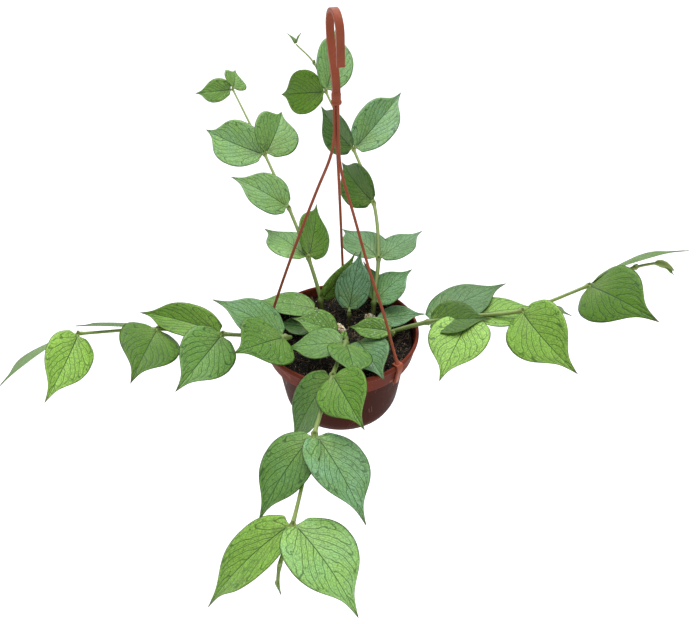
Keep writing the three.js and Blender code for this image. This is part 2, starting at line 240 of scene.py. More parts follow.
def rodTree():
    # A round rod of changing thickness along each path, closed at both ends
    tree, given = startTree("rodAlongPath", {"Sides": "Int", "Material": "Material"})
    length = addNode(tree, "SplineParameter").outputs["Length"]
    measured = addNode(
        tree, "StoreNamedAttribute", {"Geometry": given.outputs["Geometry"], "Name": "along", "Value": length},
        data_type="FLOAT", domain="POINT")
    ring = addNode(tree, "CurvePrimitiveCircle", {"Resolution": given.outputs["Sides"], "Radius": 1.0})
    rod = addNode(
        tree, "CurveToMesh",
        {"Curve": measured, "Profile Curve": ring, "Scale": addNode(tree, "InputRadius"), "Fill Caps": True})
    endTree(tree, given, addNode(tree, "SetShadeSmooth", {"Geometry": rod}))
    return tree


rodAlongPath = rodTree()


def makeRods(name, paths, sides, material):
    # paths is a list of (points, radii), one for each rod
    data = bpy.data.curves.new(name, "CURVE")
    data.dimensions = "3D"
    data.twist_mode = "MINIMUM"
    for points, radii in paths:
        spline = data.splines.new("POLY")
        spline.points.add(len(points) - 1)
        spline.points.foreach_set("co", np.column_stack([toScene(points), np.ones(len(points))]).ravel())
        spline.points.foreach_set("radius", np.asarray(radii, float) * metre)
    return runTree(addObject(name, data), rodAlongPath, {"Sides": sides, "Material": material})


def joinPieces(name, pieces):
    # One mesh from several, in order
    work = bmesh.new()
    materials = []
    for piece in pieces:
        before = len(work.faces)
        work.from_mesh(piece.data)
        work.faces.ensure_lookup_table()
        for face in work.faces[before:]:
            material = piece.data.materials[face.material_index]
            if material not in materials:
                materials.append(material)
            face.material_index = materials.index(material)
    mesh = bpy.data.meshes.new(name)
    work.to_mesh(mesh)
    work.free()
    for material in materials:
        mesh.materials.append(material)
    for piece in pieces:
        bpy.data.objects.remove(piece)
    return addObject(name, mesh)


def softCorners(points, steps=4):
    # points are (x, y) or (x, y, radius): a corner with a radius becomes an arc
    soft = []
    count = len(points)
    for i, point in enumerate(points):
        here = np.array(point[:2], float)
        radius = point[2] if len(point) > 2 else 0
        if not radius or i in (0, count - 1) and points[0][0] == 0:
            soft.append(tuple(here))
            continue
        before = np.array(points[i - 1][:2], float) - here
        after = np.array(points[(i + 1) % count][:2], float) - here
        reach = min(radius, 0.48 * np.linalg.norm(before), 0.48 * np.linalg.norm(after))
        start = here + before / np.linalg.norm(before) * reach
        end = here + after / np.linalg.norm(after) * reach
        for k in range(steps + 1):
            u = k / steps
            soft.append(tuple((1 - u) ** 2 * start + 2 * u * (1 - u) * here + u * u * end))
    return soft


def makeTurned(name, profile, segments, material):
    # A (radius, height) profile turned about the pot's axis; its ends lie on the axis
    points, rings, faces = [], [], []
    for radius, height in profile:
        if radius < 1e-6:
            rings.append([len(points)])
            points.append((0, 0, height))
        else:
            rings.append(list(range(len(points), len(points) + segments)))
            for i in range(segments):
                angle = 2 * math.pi * i / segments
                points.append((radius * math.cos(angle), radius * math.sin(angle), height))
    for low, high in zip(rings, rings[1:]):
        for i in range(segments):
            j = (i + 1) % segments
            corners = [low[i % len(low)], low[j % len(low)], high[j % len(high)], high[i % len(high)]]
            faces.append(list(dict.fromkeys(corners)))
    return makePiece(name, points, faces, material)


def makeExtruded(name, outline, width, turn, edge, material, lowWidth=None):
    # An upright (x, z) outline turned about the axis by some degrees and given a width, with soft edges
    angle = math.radians(turn)
    lowWidth = lowWidth or width
    heights = [z for _, z in outline]
    points = []
    for half in (-0.5, 0.5):
        for x, z in outline:
            side = half * np.interp(z, (min(heights), max(heights)), (lowWidth, width))
            points.append(
                (x * math.cos(angle) - side * math.sin(angle), x * math.sin(angle) + side * math.cos(angle), z))
    count = len(outline)
    faces = [list(range(count)), list(range(count, 2 * count))[::-1]]
    faces += [[i, (i + 1) % count, count + (i + 1) % count, count + i] for i in range(count)]
    piece = makePiece(name, points, faces, material)
    bevel = piece.modifiers.new("softEdges", "BEVEL")
    bevel.width = edge * metre
    bevel.segments = 3
    bevel.limit_method = "ANGLE"
    bevel.angle_limit = math.radians(40)
    bevel.harden_normals = True
    return settle(piece)


# Moulded plastic
potPlastic = {
    # the band's colour is the plastic as lit; the body's darker colour is painted shade under the band and the leaves
    "litBandColour": "#6C3022",
    "paintedShadeBodyColour": "#421C12",
    "dustColour": "#B08570",
    "grimeAndShadeColour": "#2A1D17",
    "scratchPitch": 12.0,  # mm between scratches
    "dustPitch": 2.2,
    "roughness": 0.5,
    "gloss": 0.03,
}


def polypropylene(name, high, low, shine, gloss, dirtyAndShadedInside):
    # Injection-moulded polypropylene: a satin surface with soft highlights, faint scuffs, settled dust, a lit colour
    # that turns to a painted shade colour lower down, and a darker inside that is partly clinging soil and partly
    # painted shade
    material, tree = startMaterial(name)
    where = addNode(tree, "TexCoord").outputs["Object"]
    parts = addNode(tree, "SeparateXYZ", {"Vector": where})
    rimZ = -rimDrop * metre
    # below the band the colour turns from the lit colour to a darker one: painted shade under the rim
    fade = addNode(
        tree, "MapRange", (parts.outputs["Z"], rimZ - 0.024, rimZ - 0.017), interpolation_type="SMOOTHSTEP")
    cloud = addNode(tree, "TexNoise", {"Vector": where, "Scale": 45.0, "Detail": 4.0, "Roughness": 0.6})
    plain = addNode(tree, "Mix", (fade, linear(low), linear(high)), data_type="RGBA")
    shade = addNode(tree, "MapRange", (cloud, 0.3, 0.7, 0.86, 1.12))
    toned = addNode(tree, "VectorMath", (plain, shade), operation="SCALE")
    stretched = addNode(tree, "Mapping", {"Vector": where, "Rotation": (0.3, 0.5, 0.2), "Scale": (1.0, 1.0, 0.16)})
    scratch = addNode(
        tree, "TexVoronoi", {"Vector": stretched, "Scale": 1000 / potPlastic["scratchPitch"], "Randomness": 1.0},
        feature="DISTANCE_TO_EDGE")
    patchy = addNode(tree, "TexNoise", {"Vector": where, "Scale": 70.0, "Detail": 2.0})
    lines = addNode(tree, "MapRange", (scratch, 0.0, 0.025, 1.0, 0.0))
    seen = addNode(tree, "MapRange", (patchy, 0.56, 0.66))
    scuffs = addNode(tree, "Math", (lines, seen), operation="MULTIPLY")
    grains = addNode(
        tree, "TexVoronoi", {"Vector": where, "Scale": 1000 / potPlastic["dustPitch"], "Randomness": 1.0})
    dots = addNode(tree, "MapRange", (grains, 0.10, 0.22, 1.0, 0.0))
    here = addNode(tree, "MapRange", (patchy, 0.40, 0.30))
    dust = addNode(tree, "Math", (dots, here), operation="MULTIPLY")
    marks = addNode(tree, "Math", (scuffs, dust), operation="MAXIMUM")
    amount = addNode(tree, "Math", (marks, 0.45 if dirtyAndShadedInside else 0.25), operation="MULTIPLY")
    colour = addNode(tree, "Mix", (amount, toned.outputs[0], linear(potPlastic["dustColour"])), data_type="RGBA")
    if dirtyAndShadedInside:
        # soil clinging to the inside wall above the peat, and painted shade that deepens down the inner wall below
        # the rim
        flatPlace = addNode(tree, "VectorMath", (where, (1.0, 1.0, 0.0)), operation="MULTIPLY")
        radius = addNode(tree, "VectorMath", (flatPlace,), operation="LENGTH").outputs["Value"]
        # the wall leans, so the test for its inner face leans with it
        lean = addNode(tree, "Math", (parts.outputs["Z"], -0.176, 0.176 * (rimZ - 0.003)), operation="MULTIPLY_ADD")
        level = addNode(tree, "Math", (radius, lean), operation="ADD")
        inside = addNode(tree, "MapRange", (level, 0.0678, 0.0672))
        paintedShadeDepth = addNode(tree, "MapRange", (parts.outputs["Z"], rimZ - 0.0015, rimZ - 0.008))
        crust = addNode(tree, "TexNoise", {"Vector": where, "Scale": 260.0, "Detail": 4.0})
        grip = addNode(tree, "MapRange", (crust, 0.42, 0.56))
        above = addNode(tree, "Math", (parts.outputs["Z"], rimZ - 0.0165), operation="GREATER_THAN")
        inside = addNode(tree, "Math", (inside, above), operation="MULTIPLY")
        both = addNode(tree, "Math", (inside, paintedShadeDepth), operation="MULTIPLY")
        paintedShadeAndGrime = addNode(tree, "Math", (both, grip), operation="MULTIPLY")
        colour = addNode(tree, "Mix", (paintedShadeAndGrime, colour, linear(potPlastic["grimeAndShadeColour"])), data_type="RGBA")
    rough = addNode(tree, "MapRange", (cloud, 0.3, 0.7, shine - 0.05, shine + 0.09))
    skin = addNode(tree, "TexNoise", {"Vector": where, "Scale": 900.0, "Detail": 2.0})
    raised = addNode(tree, "Math", (skin, marks), operation="ADD")
    bump = addNode(tree, "Bump", {"Height": raised, "Strength": 0.25, "Distance": 0.00006})
    surface = addNode(
        tree, "BsdfPrincipled",
        {"Base Color": colour, "Roughness": rough, "IOR": 1.49, "Specular IOR Level": gloss, "Normal": bump})
    endMaterial(tree, surface)
    return material


potMaterial = polypropylene(
    "mouldedPolypropylenePot", potPlastic["litBandColour"], potPlastic["paintedShadeBodyColour"], potPlastic["roughness"],
    potPlastic["gloss"], True)


# Pot
pot = {
    "segments": 168,
    "wall": 1.8,
    "holeCount": 6,
    "holeRadius": 3.5,
    "holeCircle": 28,
    "gateRadius": 3.0,  # the moulding gate's mark under the floor
}
bodyOutline = [(48, -79), (51.8, -71), (53.8, -60), (55.8, -46), (58.4, -30), (60.5, -19)]


def smoothOutline(points, steps):
    # A fair curve through (x, y) points
    fair = []
    at = [np.array(p, float) for p in points]
    at = [2 * at[0] - at[1]] + at + [2 * at[-1] - at[-2]]
    for i in range(1, len(points)):
        a, b, c, d = at[i - 1 : i + 3]
        for k in range(steps):
            u = k / steps
            square, cube = 2 * a - 5 * b + 4 * c - d, 3 * b - a - 3 * c + d
            fair.append(tuple(0.5 * (2 * b + (c - a) * u + square * u * u + cube * u**3)))
    fair.append(points[-1])
    return fair


def holesTree():
    # Round holes on a circle, cut through the floor
    tree, given = startTree(
        "drainHoles",
        {
            "Hole count": "Int", "Hole radius": "Float", "Circle radius": "Float", "Floor height": "Float",
            "Material": "Material"})
    circle = addNode(
        tree, "MeshCircle", {"Vertices": given.outputs["Hole count"], "Radius": given.outputs["Circle radius"]})
    height = addNode(tree, "CombineXYZ", {"Z": given.outputs["Floor height"]})
    lowered = addNode(tree, "SetPosition", {"Geometry": circle, "Offset": height})
    drill = addNode(tree, "MeshCylinder", {"Vertices": 24, "Radius": given.outputs["Hole radius"], "Depth": 0.02})
    drills = addNode(tree, "InstanceOnPoints", {"Points": lowered, "Instance": drill.outputs["Mesh"]})
    solid = addNode(tree, "RealizeInstances", {"Geometry": drills})
    cut = addNode(
        tree, "MeshBoolean", {"Mesh 1": given.outputs["Geometry"], "Mesh 2": solid}, operation="DIFFERENCE",
        solver="EXACT")
    endTree(tree, given, cut.outputs["Mesh"])
    return tree


def makePot():
    wall = pot["wall"]
    outside = smoothOutline(bodyOutline, 5)
    inside = [(radius - wall, max(height, -75.2)) for radius, height in outside]
    profile = [
        (0, -76.4), (pot["gateRadius"], -76.4, 0.3), (pot["gateRadius"] + 0.4, -77, 0.3), (41.4, -77, 0.6),
        (42, -79, 0.5), (47.2, -79, 0.8), (48.6, -78.0, 0.6), *outside[2:-1], (60.5, -19.6, 0.5), (60.7, -19, 0.3),
        (65.7, -19, 0.9), (66.1, -17.8, 0.6), (69, -4.7, 0.8), (70, -3.4, 0.7), (70, 0, 1.1), (67.3, 0, 1.1),
        (66.9, -3, 1.5), (64.4, -17.2, 1.0), (58.8, -17.3, 1.0),
        *[(radius, height) for radius, height in reversed(inside[1:-1]) if -74.5 < height < -19], (48.3, -75.2, 1.5),
        (0, -75.2)]
    shell = makeTurned("potShell", softCorners(profile), pot["segments"], potMaterial)
    shell = runTree(
        shell, holesTree(),
        {
            "Hole count": pot["holeCount"], "Hole radius": pot["holeRadius"] * metre,
            "Circle radius": pot["holeCircle"] * metre, "Floor height": (-76 - rimDrop) * metre,
            "Material": potMaterial})
    shell.name = "hangingPot"
    shell.data.polygons.foreach_set("use_smooth", [True] * len(shell.data.polygons))
    shell.data.set_sharp_from_angle(angle=math.radians(38))
    finishPiece(shell, "pot_plastic", "pot")


makePot()
print("pot done")


# Hanger
hanger = {
    "hookRadius": 13.5,
    "hookThick": 3.0,
    "hookWidth": 5.8,
    "hookTurn": 15,
    "tipDrop": 21,
    "collarTop": 219,
    "collarRadius": 4.0,
    "legRadius": 1.2,
    "bundleRadius": 1.6,
    "clipWidth": 7.0,
    "clipTail": 3.4,
    "clipThick": 1.8,
    "edge": 0.55,
    # the top colour is the plastic as lit; the low colour is painted shade on the clips under the rim
    "litTopColour": "#9C513A",
    "paintedShadeLowColour": "#7A3A28",
    "roughness": 0.42,
    "gloss": 0.1,
}
legs = {  # the piece's name, its angle and the height where it leaves the bundle
    "leg_right": ("rightLeg", -46, 153),
    "leg_back": ("backLeg", 87, 168),
    "leg_left": ("leftLeg", 188, 168),
}
hangerMaterial = polypropylene(
    "mouldedPolypropyleneHanger", hanger["litTopColour"], hanger["paintedShadeLowColour"], hanger["roughness"], hanger["gloss"],
    False)


def throughPoints(points, pitch):
    # A smooth path through points, the same centripetal curve that the model's rods follow
    at = [np.array(p, float) for p in points]
    at = [2 * at[0] - at[1]] + at + [2 * at[-1] - at[-2]]
    path = []
    for i in range(1, len(at) - 2):
        a, b, c, d = at[i - 1 : i + 3]
        before, here, after = (max(np.linalg.norm(q - p), 1e-4) ** 0.5 for p, q in ((a, b), (b, c), (c, d)))
        leave = ((b - a) / before - (c - a) / (before + here) + (c - b) / here) * here
        arrive = ((c - b) / here - (d - b) / (here + after) + (d - c) / after) * here
        steps = max(2, math.ceil(np.linalg.norm(c - b) / pitch))
        for k in range(steps):
            u = k / steps
            path.append(
                b + leave * u + (3 * (c - b) - 2 * leave - arrive) * u**2 + (2 * (b - c) + leave + arrive) * u**3)
    path.append(at[-2])
    return np.array(path)


def makeHook():
    thick, radius = hanger["hookThick"], hanger["hookRadius"]
    centre = rimDrop - radius + thick / 2
    outer, inner, half = radius + thick / 2, radius - thick / 2, thick / 2
    foot = hanger["collarTop"] - 1

    def arc(size, start, end, steps):
        angles = np.linspace(math.radians(start), math.radians(end), steps)
        return [(size * math.cos(a), centre + size * math.sin(a)) for a in angles]

    def bend(a, b, c, d, steps):
        a, b, c, d = (np.array(p, float) for p in (a, b, c, d))
        us = np.linspace(0, 1, steps)[1:]
        return [tuple((1 - u) ** 3 * a + 3 * u * (1 - u) ** 2 * b + 3 * u * u * (1 - u) * c + u**3 * d) for u in us]

    outline = [(-outer, centre - hanger["tipDrop"])]
    outline += arc(outer, 180, 0, 40)
    outline += bend((outer, centre), (outer, centre - 20), (half + 1, foot + 21), (half + 1, foot), 20)
    outline += [(-half - 1, foot)]
    outline += bend((-half - 1, foot), (-half - 1, foot + 23), (inner, centre - 20), (inner, centre), 20)
    outline += arc(inner, 0, 180, 40)[1:]
    outline += [(-inner, centre - hanger["tipDrop"])]
    strap = makeExtruded(
        "strap", outline, hanger["hookWidth"], 90 + hanger["hookTurn"], hanger["edge"], hangerMaterial)
    top, size = hanger["collarTop"], hanger["collarRadius"]
    profile = [
        (0, top - 2), (2.8, top - 2, 0.3), (3.0, top - 8, 0.3), (size - 0.3, top - 8, 0.4),
        (size + 0.1, top - 7, 0.5), (size + 0.1, top - 6, 0.5), (size - 0.5, top - 5.2, 0.4),
        (size - 0.4, top - 0.4, 0.5), (size - 1.2, top + 2, 0.8), (0, top + 2)]
    collar = makeTurned("collar", softCorners(profile), 48, hangerMaterial)
    finishPiece(joinPieces("hangerHook", [strap, collar]), "hanger_plastic", "hanger_hook")


def makeLeg(node, name, angle, low):
    turn = math.radians(angle)
    bundle, seat = hanger["bundleRadius"], 68.4

    def out(radius, height):
        return (radius * math.cos(turn), radius * math.sin(turn), height)

    route = [
        out(bundle, hanger["collarTop"] - 2.3), out(bundle, low + 32), out(bundle + 0.3, low + 20),
        out(bundle + 1.4, low + 10), out(bundle + 4.8, low - 2), out(bundle + 14.4, low - 25),
        out(0.5 * seat, low - 71), out(0.76 * seat, 0.286 * low), out(0.93 * seat, 0.083 * low), out(seat, 1)]
    path = throughPoints(route, 4)
    heights = path[:, 2]
    # the rod swells where it meets its clip
    radii = hanger["legRadius"] * (1 + 0.9 * np.exp(-((heights - 1) / 3.2) ** 2))
    rod = makeRods("rod", [(path, radii)], 14, hangerMaterial)
    thick = hanger["clipThick"]
    outer, inner, under = 70.3, 66.5, -19.3
    clip = [
        (inner - 0.9, -6), (inner - thick, -5), (inner - thick, 0.6), (inner - thick + 1.2, thick),
        (outer + thick - 1.0, thick), (outer + thick, thick - 1.2), (outer + thick, -4), (68.6, under - thick + 0.9),
        (67.8, under - thick), (62.6, under - thick), (62.6, under), (66.6, under), (outer, -4), (outer, 0.3),
        (inner, 0.3), (inner - 0.3, -3)]
    saddle = makeExtruded("saddle", clip, hanger["clipWidth"], angle, 0.35, hangerMaterial, hanger["clipTail"])
    finishPiece(joinPieces(name, [rod, saddle]), "hanger_plastic", node)


makeHook()
for legNode, legValues in legs.items():
    makeLeg(legNode, *legValues)
print("hanger done")


# Soil
soil = {
    "depth": 10,
    "swell": 1.6,
    "edgeRadius": 63.8,
    "rings": 66,
    "segments": 200,
    "crumbsPerSquareMetre": 240000,
    "fibresPerSquareMetre": 46000,
    "grainsPerSquareMetre": 26000,
    "huskPerSquareMetre": 1400000,
}
soilSide = [  # radius and height of the peat against the wall, down to the floor
    (63.7, -16.7), (58.2, -16.8), (56.2, -30), (53.6, -46), (51.6, -60), (49.6, -71), (45.8, -74.9)]
dryClumps = [  # place, radius and height of each heap of cream-coloured dry husk
    ((-1.5, 9.0), 6.6, 8.5),
    ((27.6, 27.9), 5.0, 3.0),
]
looseBits = [  # cut stubs, a twig and stray roots, as points and the radii at both ends
    ([(-24.7, 43.8, -10), (-25.6, 47.6, -5), (-26.9, 51.9, -2)], (1.5, 1.1)),
    ([(-20.9, 46.8, -10), (-20.4, 49.5, -6), (-21.4, 52.4, -4.4)], (1.3, 0.9)),
    ([(-37.6, 44.1, -5.6), (-36.2, 41, -5.8), (-33.9, 38.1, -7.6)], (0.9, 0.6)),
    ([(47.7, -17.8, -8.6), (54, -9.8, -5.8), (63, -4.4, -8)], (0.5, 0.35)),
    ([(38, -36, -9), (45, -30, -6.6), (52, -27, -8.6)], (0.4, 0.3)),
    ([(-38, -30, -9), (-33, -34, -7), (-26, -36, -8.8)], (0.6, 0.4)),
    ([(12, 33, -9), (17, 37, -7), (23, 37, -8.8)], (0.45, 0.3)),
]


def soilTop(x, y):
    waves = math.sin(x / 7 + 1) * math.cos(y / 8) + 0.5 * math.sin(x / 4 - y / 5)
    height = -soil["depth"] + soil["swell"] * waves / 1.5
    for size, rise in ((9.0, 0.9), (3.6, 0.7), (1.5, 0.45)):
        height += rise * noise.noise(Vector((x / size, y / size, size)))
    return height


def peat(name, dark, light, spread):
    # Moist peat compost: nearly black, matt and crumbly, each crumb a little lighter or darker
    material, tree = startMaterial(name)
    where = addNode(tree, "TexCoord").outputs["Object"]
    shade = addNode(tree, "Attribute", attribute_name="shade").outputs["Fac"]
    coarse = addNode(tree, "TexNoise", {"Vector": where, "Scale": 330.0, "Detail": 5.0, "Roughness": 0.7})
    mixed = addNode(tree, "Math", (shade, coarse), operation="MULTIPLY")
    factor = addNode(tree, "MapRange", (mixed, 0.1, spread))
    colour = addNode(tree, "Mix", (factor, linear(dark), linear(light)), data_type="RGBA")
    fine = addNode(tree, "TexNoise", {"Vector": where, "Scale": 1400.0, "Detail": 3.0})
    bump = addNode(tree, "Bump", {"Height": fine, "Strength": 0.6, "Distance": 0.0003})
    surface = addNode(
        tree, "BsdfPrincipled", {"Base Color": colour, "Roughness": 0.92, "Specular IOR Level": 0.25, "Normal": bump})
    endMaterial(tree, surface)
    return material


def scatterTree():
    # Lumpy grains strewn over a surface, each with its own size, turn and shade
    tree, given = startTree(
        "strewnGrains",
        {
            "Number per square metre": "Float", "Smallest": "Float", "Largest": "Float", "Flatness": "Float",
            "Sink": "Float", "Seed": "Int", "Material": "Material"})
    spots = addNode(
        tree, "DistributePointsOnFaces",
        {
            "Mesh": given.outputs["Geometry"], "Density": given.outputs["Number per square metre"],
            "Seed": given.outputs["Seed"]}, distribute_method="RANDOM")
    ball = addNode(tree, "MeshIcoSphere", {"Radius": 1.0, "Subdivisions": 2})
    warp = addNode(tree, "TexNoise", {"Scale": 1.3, "Detail": 1.0})
    push = addNode(tree, "VectorMath", (warp.outputs["Color"], (0.5, 0.5, 0.5)), operation="SUBTRACT")
    more = addNode(tree, "VectorMath", (push, 2.0), operation="SCALE")
    lump = addNode(tree, "SetPosition", {"Geometry": ball.outputs["Mesh"], "Offset": more})
    turn = addNode(
        tree, "RandomValue", {"Min": (0.0, 0.0, 0.0), "Max": (6.28, 6.28, 6.28), "Seed": given.outputs["Seed"]},
        data_type="FLOAT_VECTOR")
    bias = addNode(tree, "RandomValue", {"Min": 0.0, "Max": 1.0, "Seed": 7}, data_type="FLOAT")
    skewed = addNode(tree, "Math", (bias, 2.6), operation="POWER")
    size = addNode(tree, "MapRange", (skewed, 0.0, 1.0, given.outputs["Smallest"], given.outputs["Largest"]))
    thin = addNode(tree, "Math", (size, given.outputs["Flatness"]), operation="MULTIPLY")
    wide = addNode(tree, "Math", (size, 0.8), operation="MULTIPLY")
    scale = addNode(tree, "CombineXYZ", {"X": size, "Y": wide, "Z": thin})
    strewn = addNode(
        tree, "InstanceOnPoints",
        {"Points": spots.outputs["Points"], "Instance": lump, "Rotation": turn, "Scale": scale})
    down = addNode(tree, "CombineXYZ", {"Z": given.outputs["Sink"]})
    sunk = addNode(tree, "TranslateInstances", {"Instances": strewn, "Translation": down, "Local Space": False})
    tone = addNode(tree, "RandomValue", {"Min": 0.0, "Max": 1.0, "Seed": 11}, data_type="FLOAT")
    toned = addNode(
        tree, "StoreNamedAttribute", {"Geometry": sunk, "Name": "shade", "Value": tone}, data_type="FLOAT",
        domain="INSTANCE")
    endTree(tree, given, toned)
    return tree


def fibresTree():
    # Short bent threads lying on a surface
    tree, given = startTree(
        "lyingFibres",
        {
            "Number per square metre": "Float", "Smallest": "Float", "Largest": "Float", "Thickness": "Float",
            "Seed": "Int", "Material": "Material"})
    spots = addNode(
        tree, "DistributePointsOnFaces",
        {
            "Mesh": given.outputs["Geometry"], "Density": given.outputs["Number per square metre"],
            "Seed": given.outputs["Seed"]}, distribute_method="RANDOM")
    thread = addNode(
        tree, "CurveQuadraticBezier",
        {"Resolution": 6, "Start": (-0.5, 0.0, 0.0), "Middle": (0.1, 0.3, 0.16), "End": (0.5, -0.05, 0.0)})
    ring = addNode(tree, "CurvePrimitiveCircle", {"Resolution": 4, "Radius": given.outputs["Thickness"]})
    body = addNode(tree, "CurveToMesh", {"Curve": thread, "Profile Curve": ring, "Fill Caps": True})
    turn = addNode(
        tree, "RandomValue", {"Min": (-0.25, -0.25, 0.0), "Max": (0.25, 0.25, 6.28), "Seed": given.outputs["Seed"]},
        data_type="FLOAT_VECTOR")
    length = addNode(
        tree, "RandomValue", {"Min": given.outputs["Smallest"], "Max": given.outputs["Largest"], "Seed": 3},
        data_type="FLOAT")
    laid = addNode(
        tree, "InstanceOnPoints",
        {"Points": spots.outputs["Points"], "Instance": body, "Rotation": turn, "Scale": length})
    tone = addNode(tree, "RandomValue", {"Min": 0.0, "Max": 1.0, "Seed": 5}, data_type="FLOAT")
    toned = addNode(
        tree, "StoreNamedAttribute", {"Geometry": laid, "Name": "shade", "Value": tone}, data_type="FLOAT",
        domain="INSTANCE")
    endTree(tree, given, toned)
    return tree


peatLooks = {  # dark colour, light colour, and how much it takes to turn light
    "moistPeat": ("#14100E", "#4A3628", 0.62),
    "peatCrumbs": ("#1C1613", "#8A745C", 0.8),
    "paleGrit": ("#7A6A50", "#E0D4B4", 0.6),
    "dryRootFibre": ("#4A3A2C", "#C0AC88", 0.7),
    # the husk's light colour is lifted close to white: partly the husk's own cream colour and partly painted light
    # that offsets the leaves' shadow on the heaps
    "dryCreamHuskWithPaintedLight": ("#D8BE84", "#FFFAE6", 0.4),
}
peats = {name: peat(name, *look) for name, look in peatLooks.items()}


def circlePoints(radius, count):
    turns = [2 * math.pi * j / count for j in range(count)]
    return [(radius * math.cos(turn), radius * math.sin(turn)) for turn in turns]


def ringFaces(a, b, count):
    # The quads between two rings of points that start at a and b
    return [[a + j, b + j, b + (j + 1) % count, a + (j + 1) % count] for j in range(count)]


def makeSoil():
    rings, segments, edge = soil["rings"], soil["segments"], soil["edgeRadius"]
    points = [(0, 0, soilTop(0, 0))]
    for i in range(1, rings + 1):
        points += [(x, y, soilTop(x, y)) for x, y in circlePoints(edge * (i / rings) ** 0.85, segments)]
    faces = [[0, 1 + j, 1 + (j + 1) % segments] for j in range(segments)]
    for i in range(rings - 1):
        faces += ringFaces(1 + i * segments, 1 + (i + 1) * segments, segments)
    # crumbs lie on all but the outermost rings
    strewnCount = len(points) - 2 * segments
    ground = bpy.data.meshes.new("ground")
    strewnFaces = [face for face in faces if max(face) < strewnCount]
    ground.from_pydata(toScene(points[:strewnCount]).tolist(), [], strewnFaces)
    last = len(points) - segments
    for radius, height in soilSide:
        faces += ringFaces(last, len(points), segments)
        last = len(points)
        points += [(x, y, height) for x, y in circlePoints(radius, segments)]
    faces.append([last + j for j in range(segments)][::-1])
    bed = makePiece("peatBed", points, faces, peats["moistPeat"])

    grains, fibres = scatterTree(), fibresTree()
    strewn = []
    for name, tree, density, smallest, largest, seed, material in (
        ("crumbs", grains, soil["crumbsPerSquareMetre"], 0.0003, 0.0014, 4, "peatCrumbs"),
        ("grit", grains, soil["grainsPerSquareMetre"], 0.0003, 0.0008, 9, "paleGrit"),
        ("threads", fibres, soil["fibresPerSquareMetre"], 0.003, 0.010, 2, "dryRootFibre"),
    ):
        values = {
            "Number per square metre": density, "Smallest": smallest, "Largest": largest, "Flatness": 0.7,
            "Sink": 0.0001, "Thickness": 0.018, "Seed": seed, "Material": peats[material]}
        strewn.append(runTree(addObject(name, ground.copy()), tree, values))
    finishPiece(bed, "soil", "soil")
    finishPiece(joinPieces("strewnCrumbs", strewn), "soil")

    heaps, sides, steps = [], 14, 5
    for number, ((x, y), radius, height) in enumerate(dryClumps):
        dome = [(x, y, soilTop(x, y) + height)]
        for i in range(1, steps + 1):
            share = i / steps
            for px, py in circlePoints(radius * share, sides):
                px, py = x + px, y + 0.8 * py
                dome.append((px, py, soilTop(px, py) + height * (1 - share**2) - 0.3))
        domeFaces = [[0, 1 + j, 1 + (j + 1) % sides] for j in range(sides)]
        for i in range(steps - 1):
            domeFaces += ringFaces(1 + i * sides, 1 + (i + 1) * sides, sides)
        mesh = bpy.data.meshes.new("mound")
        mesh.from_pydata(toScene(dome).tolist(), [], domeFaces)
        values = {
            "Number per square metre": soil["huskPerSquareMetre"], "Smallest": 0.0004, "Largest": 0.0014,
            "Flatness": 0.6, "Sink": 0.0, "Seed": 20 + number, "Material": peats["dryCreamHuskWithPaintedLight"]}
        heaps.append(runTree(addObject(f"heap{number}", mesh), grains, values))
    finishPiece(joinPieces("dryHusk", heaps), "soil")
    bits = []
    for places, radii in looseBits:
        path = throughPoints(places, 1.5)
        bits.append((path, np.interp(np.linspace(0, 1, len(path)), (0, 1), radii)))
    finishPiece(makeRods("cutStubs", bits, 8, peats["dryRootFibre"]), "soil")


makeSoil()
print("soil done")


# Leaves
bladeForm = {
    "petiole": 2.5,
    "thickness": 0.9,
    "lobe": 0.05,
    "outline": [  # share of the length, share of the widest half
        (0, 0), (0.005, 0.1), (0.02, 0.253), (0.05, 0.43), (0.1, 0.64), (0.17, 0.85), (0.27, 0.98), (0.4, 1),
        (0.52, 0.906), (0.625, 0.715), (0.76, 0.32), (0.84, 0.156), (0.94, 0.05), (1, 0),
    ],
    "rows": 56,
    "columns": 28,
    "quilt": 0.28,  # how far the blade swells between its side veins
    "groove": 0.35,  # how deep the midrib lies in the upper face
    "keel": 0.5,  # how far it stands out below
    "wave": 0.5,
}
leafColours = {
    # dark, middle and bright are mixed by each leaf's tone, which is partly the leaf's age and partly painted light
    # and shade
    "dark": "#385B0E",
    "middle": "#648F20",
    "bright": "#9DCB54",
    "bloom": "#90C0A0",  # painted bluish sheen, standing for the sky mirrored on the waxy upper faces
    "fan": "#A9C76A",
    "vein": "#1E3A18",
    "margin": "#4A3524",
    "under": "#A3BE86",
    "speck": "#EDF3DC",
}
